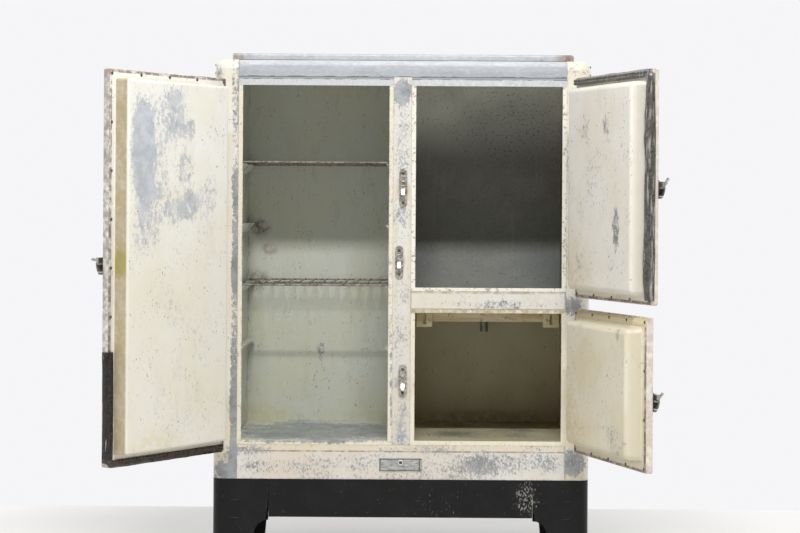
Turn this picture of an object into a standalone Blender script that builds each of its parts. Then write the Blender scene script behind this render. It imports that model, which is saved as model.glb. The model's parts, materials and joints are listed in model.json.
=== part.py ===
"""An old three-door icebox: enamelled steel cabinet on a black pressed-steel base, doors standing open.

The cabinet frame has X across the front, Y into the depth from the cabinet's face, and Z up from the floor.
"""

from math import cos, pi, radians, sin, tan

import bmesh
import bpy
from mathutils import Matrix, Vector

# ---- cabinet ----
WIDTH = 0.900
DEPTH = 0.480
BODY_BOTTOM = 0.220
BODY_TOP = 1.224
CORNER_RADIUS = 0.024  # upright front corners
TOP_RADIUS = 0.022  # edges round the top
POST_DEPTH = 0.045
SHEET = 0.0012
FACE_SHEET = 0.0015
LINER_SHEET = 0.0010
GAP = 0.0003  # between touching pieces

# ---- openings in the face ----
OUTER_EDGE = 0.3825  # |x| of each opening's outer edge
INNER_EDGE = 0.0320  # |x| of each opening's edge at the stile
OPENING_TOP = 1.1617
OPENING_BOTTOM = 0.3126
ICE_OPENING_BOTTOM = 0.6793
LOWER_OPENING_TOP = 0.6188
LIP = 0.010  # liner edge left showing round an opening
TOP_LIP = 0.0213

# ---- insides of the compartments ----
LINER_FRONT = FACE_SHEET + GAP
INNER_DEPTH = 0.426
LINER_OUTER = 0.4055  # |x| of the liner's outer side wall
LINER_INNER = 0.0200  # |x| of the liner's wall at the partition
FLOOR_Z = 0.312
CEILING_Z = 1.188
ICE_FLOOR_Z = 0.660
LOWER_CEILING_Z = 0.640

# ---- shelves and their ledges ----
LEDGE_BASE_Z = 0.531
LEDGE_STEP = 0.1483
LEDGE_COUNT = 4
LEDGE_REACH = 0.0205
LEDGE_HEIGHT = 0.024
LEDGE_FRONT = 0.060
LEDGE_BACK = 0.412
SHELF_LEDGES = (3, 1)  # upper shelf, lower shelf
SHELF_WIRE = 0.0016  # radius
SHELF_ROD = 0.0024  # radius
SHELF_WIRES = 14
SHELF_FRONT = 0.052
SHELF_BACK = 0.412

# ---- base ----
LEG_WIDTH = 0.134
APRON_HEIGHT = 0.091
LEG_FOOT_WIDTH = 0.087
LEG_ANKLE_WIDTH = 0.1005

# ---- doors ----
HINGE_X = 0.4295
HINGE_Y = -0.031
DOOR_TOP = 1.1739
DOOR_BOTTOM = 0.2936
ICE_DOOR_TOP = 1.1795
ICE_DOOR_BOTTOM = 0.6605
LOWER_DOOR_TOP = 0.6344
PAN_HINGE_EDGE = 0.0153  # from the hinge axis
PAN_FREE_EDGE = 0.4120
PAN_FACE = 0.0080  # depth of the outer face, from the axis
PAN_BACK = 0.0246
PAN_FLANGE = 0.016
PAN_EDGE_RADIUS = 0.005
PANEL_FACE_DEPTH = 0.040
PANEL_HINGE_SIDE = 0.0492
PANEL_FREE_SIDE = 0.3940
PANEL_CLEARANCE = 0.0080  # between the raised panel and its opening, above and below
ICE_PANEL_DROP = 0.0060  # how much lower the ice door's panel comes
PANEL_SLOPE = 0.0025
FOOD_DOOR_ANGLE = 124.5
ICE_DOOR_ANGLE = 110.4
LOWER_DOOR_ANGLE = 109.0

# ---- hinges ----
KNUCKLE_RADIUS = 0.006
KNUCKLE_HEIGHT = 0.036
PIN_RADIUS = 0.0030
LEAF_THICKNESS = 0.0025

# ---- latches ----
CASE_HALF_HEIGHT = 0.037
CASE_HALF_WIDTH = 0.011
LEVER_THICKNESS = 0.012
PIVOT_RADIUS = 0.0026
STRIKE_OFFSETS = {"food": -0.0065, "ice": 0.0020, "lower": 0.0035}
LATCH_HEIGHTS = {"food": 0.736, "ice": 0.911, "lower": 0.4455}

# ---- drain ----
DRAIN_X = 0.2075
DRAIN_Y = 0.370
DRAIN_RADIUS = 0.0105
DRAIN_BOTTOM = 0.552

ARC_STEPS = 4


def clear_scene():
    for thing in list(bpy.data.objects):
        bpy.data.objects.remove(thing)


def new_collection(name):
    collection = bpy.data.collections.new(name)
    bpy.context.scene.collection.children.link(collection)
    return collection


def material(name, colour, roughness, metallic=0.0):
    made = bpy.data.materials.new(name)
    made.use_nodes = True
    shader = made.node_tree.nodes["Principled BSDF"]
    shader.inputs["Base Color"].default_value = (*colour, 1.0)
    shader.inputs["Roughness"].default_value = roughness
    shader.inputs["Metallic"].default_value = metallic
    return made


def add_object(name, data, look, parent=None, location=(0, 0, 0)):
    made = bpy.data.objects.new(name, data)
    PARTS.objects.link(made)
    if look:
        data.materials.append(look)
    made.parent = parent or ROOT
    made.location = location
    return made


def as_cutter(thing):
    PARTS.objects.unlink(thing)
    CUTTERS.objects.link(thing)
    thing.hide_render = True
    thing.display_type = "WIRE"
    return thing


def combine(thing, other, operation):
    modifier = thing.modifiers.new(operation.title(), "BOOLEAN")
    modifier.operation = operation
    modifier.object = as_cutter(other)
    return thing


def cut(thing, *others):
    for other in others:
        combine(thing, other, "DIFFERENCE")
    return thing


def join(thing, *others):
    for other in others:
        combine(thing, other, "UNION")
    return thing


def finish_mesh(name, shape, smooth=False):
    bmesh.ops.recalc_face_normals(shape, faces=shape.faces)
    mesh = bpy.data.meshes.new(name)
    shape.to_mesh(mesh)
    shape.free()
    if smooth:
        mesh.shade_smooth()
        mesh.set_sharp_from_angle(angle=radians(35))
    return mesh


def block(name, low, high, look=None, parent=None, rounds=()):
    """A box between two corners; rounds holds (edge test, radius) pairs, each rounding the edges that pass."""
    low, high = Vector(low), Vector(high)
    centre, size = (low + high) / 2, high - low
    shape = bmesh.new()
    bmesh.ops.create_cube(shape, size=1.0, matrix=Matrix.Diagonal((*size, 1.0)))
    for test, radius in rounds:
        chosen = [edge for edge in shape.edges if test(*(v.co + centre for v in edge.verts))]
        bmesh.ops.bevel(shape, geom=chosen, offset=radius, segments=ARC_STEPS, profile=0.5, affect="EDGES")
    return add_object(name, finish_mesh(name, shape, bool(rounds)), look, parent, centre)


def arc(centre, radius, start, end, steps=ARC_STEPS):
    """Points round an arc, angles in degrees, both ends included."""
    angles = [radians(start + (end - start) * i / steps) for i in range(steps + 1)]
    return [(centre[0] + radius * cos(a), centre[1] + radius * sin(a)) for a in angles]


def circle(centre, radius, steps=12):
    return arc(centre, radius, 0, 360, steps)[:-1]


def prism(name, outlines, start, end, axis="Z", look=None, parent=None):
    """A flat outline, with any holes, carried along an axis from start to end."""
    turn = {
        "Z": Matrix.Identity(4),
        "Y": Matrix(((1, 0, 0, 0), (0, 0, 1, 0), (0, 1, 0, 0), (0, 0, 0, 1))),
        "X": Matrix(((0, 0, 1, 0), (1, 0, 0, 0), (0, 1, 0, 0), (0, 0, 0, 1))),
    }[axis]
    curve = bpy.data.curves.new(name + "_outline", "CURVE")
    curve.dimensions = "2D"
    curve.fill_mode = "BOTH"
    curve.extrude = (end - start) / 2
    for outline in outlines:
        spline = curve.splines.new("POLY")
        spline.points.add(len(outline) - 1)
        for point, (a, b) in zip(spline.points, outline):
            point.co = (a, b, 0, 1)
        spline.use_cyclic_u = True
    guide = bpy.data.objects.new(name + "_outline", curve)
    bpy.context.scene.collection.objects.link(guide)
    mesh = bpy.data.meshes.new_from_object(guide.evaluated_get(bpy.context.evaluated_depsgraph_get()))
    bpy.data.objects.remove(guide)
    shape = bmesh.new()
    shape.from_mesh(mesh)
    bpy.data.meshes.remove(mesh)
    bmesh.ops.remove_doubles(shape, verts=shape.verts, dist=1e-6)
    middle = Vector((0, 0, (start + end) / 2))
    bmesh.ops.transform(shape, matrix=turn, verts=shape.verts)
    return add_object(name, finish_mesh(name, shape), look, parent, turn @ middle)


def folded_sheet(name, path, radii, start, end, axis, thickness, look):
    """A sheet bent along a path of corners, each with its own bend radius, and carried along an axis."""
    points = [Vector((*path[0], 0))]
    for before, corner, after, radius in zip(path, path[1:], path[2:], radii):
        corner = Vector((*corner, 0))
        arrive = (corner - Vector((*before, 0))).normalized()
        leave = (Vector((*after, 0)) - corner).normalized()
        reach = radius * tan(arrive.angle(leave) / 2)
        first, last = corner - arrive * reach, corner + leave * reach
        for step in range(ARC_STEPS + 1):
            t = step / ARC_STEPS
            points.append(first * (1 - t) ** 2 + corner * 2 * t * (1 - t) + last * t**2)
    points.append(Vector((*path[-1], 0)))
    turn = {"Z": (0, 1, 2), "Y": (0, 2, 1), "X": (2, 0, 1)}[axis]
    shape = bmesh.new()
    rows = []
    for along in (start, end):
        row = []
        for point in points:
            flat = (point.x, point.y, along)
            row.append(shape.verts.new([flat[k] for k in turn]))
        rows.append(row)
    for i in range(len(points) - 1):
        shape.faces.new((rows[0][i], rows[0][i + 1], rows[1][i + 1], rows[1][i]))
    mesh = bpy.data.meshes.new(name)
    shape.to_mesh(mesh)
    shape.free()
    mesh.shade_smooth()
    mesh.set_sharp_from_angle(angle=radians(35))
    sheet = add_object(name, mesh, look)
    solid = sheet.modifiers.new("Sheet", "SOLIDIFY")
    solid.thickness = abs(thickness)
    solid.offset = 1.0 if thickness > 0 else -1.0
    solid.use_even_offset = True
    return sheet


def stepped_sheet(name, rings, look, parent, side, thickness=0.0, radius=0.0, closed=False):
    """A pressed form through rings of (low u, high u, low z, high z, depth), with the last ring filled."""
    shape = bmesh.new()
    loops = []
    for low_u, high_u, low_z, high_z, depth in rings:
        corners = ((low_u, low_z), (high_u, low_z), (high_u, high_z), (low_u, high_z))
        loops.append([shape.verts.new((side * u, depth, z)) for u, z in corners])
    for outer, inner in zip(loops, loops[1:]):
        for i in range(4):
            k = (i + 1) % 4
            shape.faces.new((outer[i], outer[k], inner[k], inner[i]))
    shape.faces.new(loops[-1])
    if closed:
        shape.faces.new(loops[0])
    bmesh.ops.recalc_face_normals(shape, faces=shape.faces)
    weight = shape.edges.layers.float.new("bevel_weight_edge")
    for edge in shape.edges:
        folded = len(edge.link_faces) == 2 and edge.calc_face_angle_signed()
        if folded:
            edge[weight] = 1.0 if folded > 0.3 else 0.3 if folded < -0.3 else 0.0
    made = add_object(name, finish_mesh(name, shape), look, parent)
    if radius:
        bevel = made.modifiers.new("Edges", "BEVEL")
        bevel.width = radius
        bevel.segments = 2
        bevel.limit_method = "WEIGHT"
    if thickness:
        solid = made.modifiers.new("Sheet", "SOLIDIFY")
        solid.thickness = abs(thickness)
        solid.offset = 1.0 if thickness > 0 else -1.0
        solid.use_even_offset = True
    return made


def turned(name, profile, centre, look, parent=None, steps=16):
    """A profile of (radius, z) turned about a vertical axis through centre."""
    mesh = bpy.data.meshes.new(name)
    closed = [(i, (i + 1) % len(profile)) for i in range(len(profile))]
    mesh.from_pydata([(radius, 0, z) for radius, z in profile], closed, [])
    made = add_object(name, mesh, look, parent, centre)
    screw = made.modifiers.new("Turn", "SCREW")
    screw.steps = screw.render_steps = steps
    screw.use_merge_vertices = True
    screw.merge_threshold = 0.00001
    return made


def rod(name, centre, radius, length, axis="Z", look=None, parent=None, steps=10):
    shape = bmesh.new()
    turn = {"Z": Matrix.Identity(4), "X": Matrix.Rotation(pi / 2, 4, "Y"), "Y": Matrix.Rotation(pi / 2, 4, "X")}
    bmesh.ops.create_cone(
        shape, cap_ends=True, segments=steps, radius1=radius, radius2=radius, depth=length, matrix=turn[axis]
    )
    return add_object(name, finish_mesh(name, shape, True), look, parent, centre)


def upright_corner(side, y):
    """Test for the upright edge at the cabinet's outer side and the given depth."""
    x = side * WIDTH / 2

    def test(a, b):
        return all(abs(p.x - x) < 1e-5 and abs(p.y - y) < 1e-5 for p in (a, b))

    return test


def top_edges(side, z, back):
    """Test for the edges round the top, apart from those at the inner side and the back."""

    def test(a, b):
        level = abs(a.z - z) < 1e-5 and abs(b.z - z) < 1e-5
        inner = min(side * a.x, side * b.x) < OUTER_EDGE + LIP + 1e-4 and abs(a.x - b.x) < 1e-5
        rear = min(a.y, b.y) > back - 1e-4
        return level and not inner and not rear

    return test


# ---------------------------------------------------------------- cabinet


def make_shell():
    half = WIDTH / 2
    for side, word in ((-1, "left"), (1, "right")):
        folded_sheet(
            f"side_panel_{word}",
            [(side * half, BODY_BOTTOM), (side * half, BODY_TOP), (side * (half - 0.050), BODY_TOP)],
            [TOP_RADIUS],
            POST_DEPTH + GAP,
            DEPTH,
            "Y",
            side * SHEET,
            CREAM,
        )
        make_corner_post(side, word)
    block(
        "back_panel",
        (-half + SHEET + GAP, DEPTH - SHEET, BODY_BOTTOM + SHEET + GAP),
        (half - SHEET - GAP, DEPTH, BODY_TOP - TOP_RADIUS),
        GREY_PAINT,
    )
    block(
        "bottom_pan",
        (-half + 0.020, 0.006, BODY_BOTTOM),
        (half - 0.020, DEPTH, BODY_BOTTOM + SHEET),
        GALVANISED,
    )
    lid_side, lid_front, lid_back = 0.410, 0.024, DEPTH - 0.012
    lid = block(
        "top_lid",
        (-lid_side, lid_front, BODY_TOP + GAP),
        (lid_side, lid_back, 1.2395),
        GALVANISED,
        rounds=[(lambda a, b: a.z > BODY_TOP + 0.01 and b.z > BODY_TOP + 0.01, 0.0055)],
    )
    wall = SHEET
    cut(
        lid,
        block(
            "lid_hollow",
            (-lid_side + wall + 0.004, lid_front + wall + 0.004, BODY_TOP - 0.02),
            (lid_side - wall - 0.004, lid_back - wall - 0.004, 1.2395 - wall),
        ),
    )


def make_corner_post(side, word):
    half = WIDTH / 2
    inner = OUTER_EDGE + LIP
    xs = sorted((side * inner, side * half))
    post = block(
        f"corner_post_{word}",
        (xs[0], 0, BODY_BOTTOM),
        (xs[1], POST_DEPTH, BODY_TOP),
        CREAM,
        rounds=[(upright_corner(side, 0), CORNER_RADIUS), (top_edges(side, BODY_TOP, POST_DEPTH), TOP_RADIUS)],
    )
    wall = FACE_SHEET
    xs = sorted((side * (inner - 0.02), side * (half - wall)))
    edge = side * (half - wall)

    def inside_corner(a, b):
        return all(abs(p.x - edge) < 1e-5 and abs(p.y - wall) < 1e-5 for p in (a, b))

    def inside_top(a, b):
        top = BODY_TOP - wall
        level = abs(a.z - top) < 1e-5 and abs(b.z - top) < 1e-5
        return level and max(side * a.x, side * b.x) > inner and min(a.y, b.y) < POST_DEPTH

    cut(
        post,
        block(
            f"post_hollow_{word}",
            (xs[0], wall, BODY_BOTTOM - 0.02),
            (xs[1], POST_DEPTH + 0.02, BODY_TOP - wall),
            rounds=[(inside_corner, CORNER_RADIUS - wall), (inside_top, TOP_RADIUS - wall)],
        ),
    )


def make_face():
    edge = OUTER_EDGE + LIP - GAP
    rail_bottom = OPENING_TOP + TOP_LIP
    folded_sheet(
        "top_rail",
        [(0, rail_bottom), (0, BODY_TOP), (0.050, BODY_TOP)],
        [0.028],
        -edge,
        edge,
        "X",
        FACE_SHEET,
        GALVANISED,
    )
    block("bottom_rail", (-edge, 0, BODY_BOTTOM), (edge, FACE_SHEET, OPENING_BOTTOM - LIP), CREAM)
    stile = INNER_EDGE - LIP
    block(
        "center_stile",
        (-stile, 0, OPENING_BOTTOM - LIP + GAP),
        (stile, FACE_SHEET, OPENING_TOP + TOP_LIP - GAP),
        CREAM,
    )
    block(
        "ice_rail",
        (stile + GAP, 0, LOWER_OPENING_TOP + LIP),
        (edge, FACE_SHEET, ICE_OPENING_BOTTOM - 0.008),
        CREAM,
    )
    plate = block(
        "nameplate",
        (-0.051, -GAP - 0.0012, 0.2335),
        (0.051, -GAP, 0.2655),
        NICKEL,
        rounds=[(lambda a, b: abs(a.x - b.x) < 1e-6 and abs(a.z - b.z) < 1e-6, 0.003)],
    )
    join(plate, rod("nameplate_boss", (0, -0.0030, 0.2540), 0.0075, 0.0046, "Y", steps=16))


def make_liners():
    """Pressed liners: each a box of sheet, with a front wall cut to its opening."""
    spans = {
        "food_liner": (-1, FLOOR_Z, CEILING_Z, OPENING_BOTTOM, OPENING_TOP),
        "ice_liner": (1, ICE_FLOOR_Z, CEILING_Z, ICE_OPENING_BOTTOM, OPENING_TOP),
        "lower_liner": (1, FLOOR_Z, LOWER_CEILING_Z, OPENING_BOTTOM, LOWER_OPENING_TOP),
    }
    looks = {"food_liner": ENAMEL, "ice_liner": ZINC, "lower_liner": ENAMEL}
    for name, (side, floor, ceiling, opening_low, opening_high) in spans.items():
        t = LINER_SHEET
        xs = sorted((side * LINER_INNER, side * LINER_OUTER))
        front = LINER_FRONT + t
        low = (xs[0] - t, LINER_FRONT, min(floor, opening_low - LIP) - t)
        liner = block(name, low, (xs[1] + t, INNER_DEPTH + t, ceiling + t), looks[name])
        openings = sorted((side * INNER_EDGE, side * OUTER_EDGE))
        cut(
            liner,
            block(f"{name}_inside", (xs[0], front, floor), (xs[1], INNER_DEPTH, ceiling)),
            block(f"{name}_opening", (openings[0], -0.01, opening_low), (openings[1], 0.03, opening_high)),
        )
        if low[2] < floor - t:
            cut(liner, block(f"{name}_under", (-WIDTH, front, low[2] - t), (WIDTH, DEPTH, floor - t)))
        if name == "food_liner":
            add_ledges(liner)
        else:
            plane = (DRAIN_X, DRAIN_Y, LOWER_CEILING_Z + 0.01)
            cut(liner, rod(f"{name}_drain_hole", plane, DRAIN_RADIUS + 0.0007, 0.10, steps=16))


def add_ledges(liner):
    """Pressed ledges along both side walls, which the shelves rest on."""
    for step in range(LEDGE_COUNT):
        top = LEDGE_BASE_Z + step * LEDGE_STEP
        for wall, inward in ((-LINER_OUTER, 1), (-LINER_INNER, -1)):
            outside = wall - inward * LINER_SHEET * 0.6
            tip = wall + inward * LEDGE_REACH
            outline = [(outside, top), (tip, top), (tip, top - 0.002), (outside, top - LEDGE_HEIGHT)]
            join(liner, prism(f"ledge_{step}_{inward}", [outline], LEDGE_FRONT, LEDGE_BACK, "Y"))


def make_insulation():
    """The filling between the outer sheets and the liners."""
    half = WIDTH / 2
    side_gap = FACE_SHEET + GAP
    front = 0.0035
    body = block(
        "insulation",
        (-half + side_gap, front, BODY_BOTTOM + SHEET + GAP),
        (half - side_gap, DEPTH - SHEET - GAP, BODY_TOP - TOP_RADIUS - 0.001),
        CORK,
        rounds=[
            (
                lambda a, b: all(p.y < front + 1e-5 and abs(p.x) > half - 0.01 for p in (a, b))
                and abs(a.z - b.z) > 0.1,
                CORNER_RADIUS,
            )
        ],
    )
    gap = LINER_SHEET + GAP
    for name, side, floor, ceiling in (
        ("food", -1, FLOOR_Z, CEILING_Z),
        ("ice", 1, ICE_FLOOR_Z, CEILING_Z),
        ("lower", 1, FLOOR_Z, LOWER_CEILING_Z),
    ):
        xs = sorted((side * LINER_INNER, side * LINER_OUTER))
        space_high = (xs[1] + gap, INNER_DEPTH + gap, ceiling + gap)
        cut(body, block(f"{name}_space", (xs[0] - gap, -0.02, floor - gap), space_high))
    cut(body, rod("insulation_drain_hole", (DRAIN_X, DRAIN_Y, 0.65), DRAIN_RADIUS + 0.0015, 0.06, steps=16))


def make_fittings():
    """What stands inside the compartments: the ice floor's timber and the drain."""
    strip_front, strip_back = 0.046, 0.072
    top = LOWER_CEILING_Z - GAP
    low, high = LINER_INNER + GAP, LINER_OUTER - GAP
    support = block("ice_floor_support", (low, strip_front, 0.596), (high, strip_back, top), TIMBER)
    for word, first in (("left", INNER_EDGE + 0.0035), ("right", OUTER_EDGE - 0.0415)):
        corner_low, corner_high = (first, 0.0375, 0.5835), (first + 0.038, strip_front + 0.006, top - 0.002)
        corner = block(f"support_corner_{word}", corner_low, corner_high)
        slot = first + 0.019
        join(support, corner)
        cut(support, block(f"corner_slot_{word}", (slot - 0.003, 0.03, 0.590), (slot + 0.003, 0.044, 0.614)))
    wall = 0.0012
    flange = ICE_FLOOR_Z + GAP
    turned(
        "drain_tube",
        [
            (0.018, flange + wall),
            (0.018, flange),
            (DRAIN_RADIUS, flange),
            (DRAIN_RADIUS, DRAIN_BOTTOM),
            (DRAIN_RADIUS - wall, DRAIN_BOTTOM),
            (DRAIN_RADIUS - wall, flange + wall),
        ],
        (DRAIN_X, DRAIN_Y, 0),
        ZINC,
    )


def make_shelf(name, ledge):
    """A wire shelf: two cross rods under a row of front-to-back wires."""
    left, right = -LINER_OUTER + 0.003, -LINER_INNER - 0.003
    top = LEDGE_BASE_Z + ledge * LEDGE_STEP
    rod_z = top + GAP + SHELF_ROD
    wire_z = rod_z + SHELF_ROD * 0.7
    middle = (left + right) / 2
    shelf = rod(name, (middle, SHELF_FRONT, rod_z), SHELF_ROD, right - left, "X", WIRE, steps=8)
    for y in (SHELF_BACK, (SHELF_FRONT + SHELF_BACK) / 2):
        join(shelf, rod(f"{name}_rod", (middle, y, rod_z), SHELF_ROD, right - left, "X", steps=8))
    span = right - left - 0.012
    for i in range(SHELF_WIRES):
        x = left + 0.006 + span * i / (SHELF_WIRES - 1)
        length = SHELF_BACK - SHELF_FRONT + 0.006
        centre = (x, (SHELF_FRONT + SHELF_BACK) / 2, wire_z)
        join(shelf, rod(f"{name}_wire_{i}", centre, SHELF_WIRE, length, "Y", steps=6))


# ---------------------------------------------------------------- base


def leg_cutter(name, flip, axis, start, end, offset):
    """What is cut from a leg's wing to give its curved inner edge."""
    apron = BODY_BOTTOM - APRON_HEIGHT
    turn = apron - 0.007
    ankle = 0.088
    inner = [(LEG_WIDTH + 0.02, turn), (LEG_WIDTH - 0.0005, turn)]
    for step in range(1, 6):
        a = pi / 2 * step / 5
        across = LEG_WIDTH - 0.0005 - (LEG_WIDTH - LEG_ANKLE_WIDTH) * sin(a)
        inner.append((across, ankle + (turn - ankle) * cos(a)))
    inner += [(LEG_FOOT_WIDTH + 0.005, 0.045), (LEG_FOOT_WIDTH, -0.01), (LEG_WIDTH + 0.02, -0.01)]
    outline = [(offset + flip * s, z) for s, z in inner]
    return prism(name, [outline], start, end, axis)


def make_base():
    half = WIDTH / 2
    top = BODY_BOTTOM - GAP
    apron = BODY_BOTTOM - APRON_HEIGHT
    wall = FACE_SHEET
    for side, word in ((-1, "left"), (1, "right")):
        for rear, place in ((False, "front"), (True, "rear")):
            face = DEPTH if rear else 0.0
            inward = -1 if rear else 1
            xs = sorted((side * half, side * (half - LEG_WIDTH)))
            ys = sorted((face, face + inward * LEG_WIDTH))
            name = f"leg_{place}_{word}"
            rounds = [(upright_corner(side, face), CORNER_RADIUS)]
            leg = block(name, (xs[0], ys[0], 0), (xs[1], ys[1], top), BLACK, rounds=rounds)
            inner_xs = sorted((side * (half - wall), side * (half - LEG_WIDTH - 0.02)))
            inner_ys = sorted((face + inward * wall, face + inward * (LEG_WIDTH + 0.02)))
            corner_x, corner_y = side * (half - wall), face + inward * wall

            def inside(a, b, cx=corner_x, cy=corner_y):
                return all(abs(p.x - cx) < 1e-5 and abs(p.y - cy) < 1e-5 for p in (a, b))

            hollow = block(
                f"{name}_hollow",
                (inner_xs[0], inner_ys[0], -0.02),
                (inner_xs[1], inner_ys[1], top - wall),
                rounds=[(inside, CORNER_RADIUS - wall)],
            )
            front_zone = sorted((face - inward * 0.01, face + inward * 0.012))
            side_zone = sorted((side * (half + 0.01), side * (half - 0.012)))
            cut(
                leg,
                hollow,
                leg_cutter(f"{name}_front_cut", -side, "Y", *front_zone, side * half),
                leg_cutter(f"{name}_side_cut", inward, "X", *side_zone, face),
            )
        ys = (LEG_WIDTH + GAP, DEPTH - LEG_WIDTH - GAP)
        xs = sorted((side * half, side * (half - wall)))
        block(f"side_apron_{word}", (xs[0], ys[0], apron), (xs[1], ys[1], top), BLACK)
    reach = half - LEG_WIDTH - GAP
    block("front_apron", (-reach, 0, apron), (reach, wall, top), BLACK)
    block("back_apron", (-reach, DEPTH - wall, apron), (reach, DEPTH, top), BLACK)


# ---------------------------------------------------------------- doors


def make_door(word, side, low, high, opening_low, opening_high, angle):
    """A door about its hinge axis: u runs from the axis to the free edge, and depth is towards the cabinet."""
    hinge = bpy.data.objects.new(f"{word}_door_hinge_axis", None)
    PARTS.objects.link(hinge)
    hinge.parent = ROOT
    hinge.location = (-side * HINGE_X, HINGE_Y, 0)
    hinge.rotation_euler = (0, 0, -side * radians(angle))

    edge = (PAN_HINGE_EDGE, PAN_FREE_EDGE, low, high)
    flange = PAN_FLANGE
    mouth = (edge[0] + flange, edge[1] - flange, low + flange, high - flange)
    stepped_sheet(
        f"{word}_door_outer_pan",
        [(*mouth, PAN_BACK), (*edge, PAN_BACK), (*edge, PAN_FACE)],
        CREAM,
        hinge,
        side,
        thickness=-SHEET,
        radius=PAN_EDGE_RADIUS,
    )
    seat = PAN_BACK + GAP
    rim = 0.0022
    base = (PANEL_HINGE_SIDE, PANEL_FREE_SIDE, opening_low + PANEL_CLEARANCE, opening_high - PANEL_CLEARANCE)
    slope = PANEL_SLOPE
    face = (base[0] + slope, base[1] - slope, base[2] + slope, base[3] - slope)
    outer = (edge[0] + rim, edge[1] - rim, low + rim, high - rim)
    sheet = SHEET
    stepped_sheet(
        f"{word}_door_inner_panel",
        [(*outer, seat + sheet), (*base, seat + sheet), (*face, seat + PANEL_FACE_DEPTH)],
        CREAM,
        hinge,
        side,
        thickness=-sheet,
        radius=0.006,
    )
    inset = 0.0075
    core_face = seat + PANEL_FACE_DEPTH - 0.0035
    stepped_sheet(
        f"{word}_door_insulation",
        [
            (edge[0] + inset, edge[1] - inset, low + inset, high - inset, PAN_FACE + SHEET + GAP),
            (edge[0] + inset, edge[1] - inset, low + inset, high - inset, PAN_BACK - SHEET - GAP),
            (base[0] + inset, base[1] - inset, base[2] + inset, base[3] - inset, PAN_BACK - SHEET - GAP),
            (face[0] + inset, face[1] - inset, face[2] + inset, face[3] - inset, core_face),
        ],
        CORK,
        hinge,
        side,
        closed=True,
    )
    make_latch(word, side, LATCH_HEIGHTS[word], hinge)
    return hinge


def make_hinge(word, place, side, low, door):
    """One hinge: the cabinet's leaf carries the pin, and below it the door's leaf has the bored knuckle."""
    split = low + KNUCKLE_HEIGHT
    door_span, cabinet_span = (low, split - GAP), (split + GAP, split + KNUCKLE_HEIGHT)
    outside = -(WIDTH / 2 - HINGE_X + GAP)
    strap = outside - LEAF_THICKNESS
    tangent = -KNUCKLE_RADIUS
    outline = [
        (0, tangent),
        (strap, tangent),
        (strap, 0.080),
        (outside, 0.080),
        (outside, tangent + LEAF_THICKNESS),
    ]
    outline += arc((0, 0), KNUCKLE_RADIUS, 215, -90, 10)[:-1]
    axis = (-side * HINGE_X, HINGE_Y)
    leaf = prism(
        f"{word}_{place}_hinge_cabinet_leaf",
        [[(axis[0] + side * u, axis[1] + v) for u, v in outline]],
        *cabinet_span,
        "Z",
        NICKEL,
    )
    pin_low = door_span[0] - 0.002
    pin_high = cabinet_span[1] - 0.004
    pin = (*axis, (pin_low + pin_high) / 2)
    join(leaf, rod(f"{word}_{place}_pin", pin, PIN_RADIUS, pin_high - pin_low, steps=12))
    top, bottom = PAN_FACE - GAP, PAN_FACE - GAP - LEAF_THICKNESS
    outline = [(KNUCKLE_RADIUS * cos(radians(60)), bottom), (0.060, bottom), (0.060, top), (-0.001, top)]
    outline += arc((0, 0), KNUCKLE_RADIUS, 100, 415, 12)
    outlines = [outline, circle((0, 0), PIN_RADIUS + 0.0004)]
    prism(
        f"{word}_{place}_hinge_door_leaf",
        [[(side * u, v) for u, v in points] for points in outlines],
        *door_span,
        "Z",
        NICKEL,
        door,
    )


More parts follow.
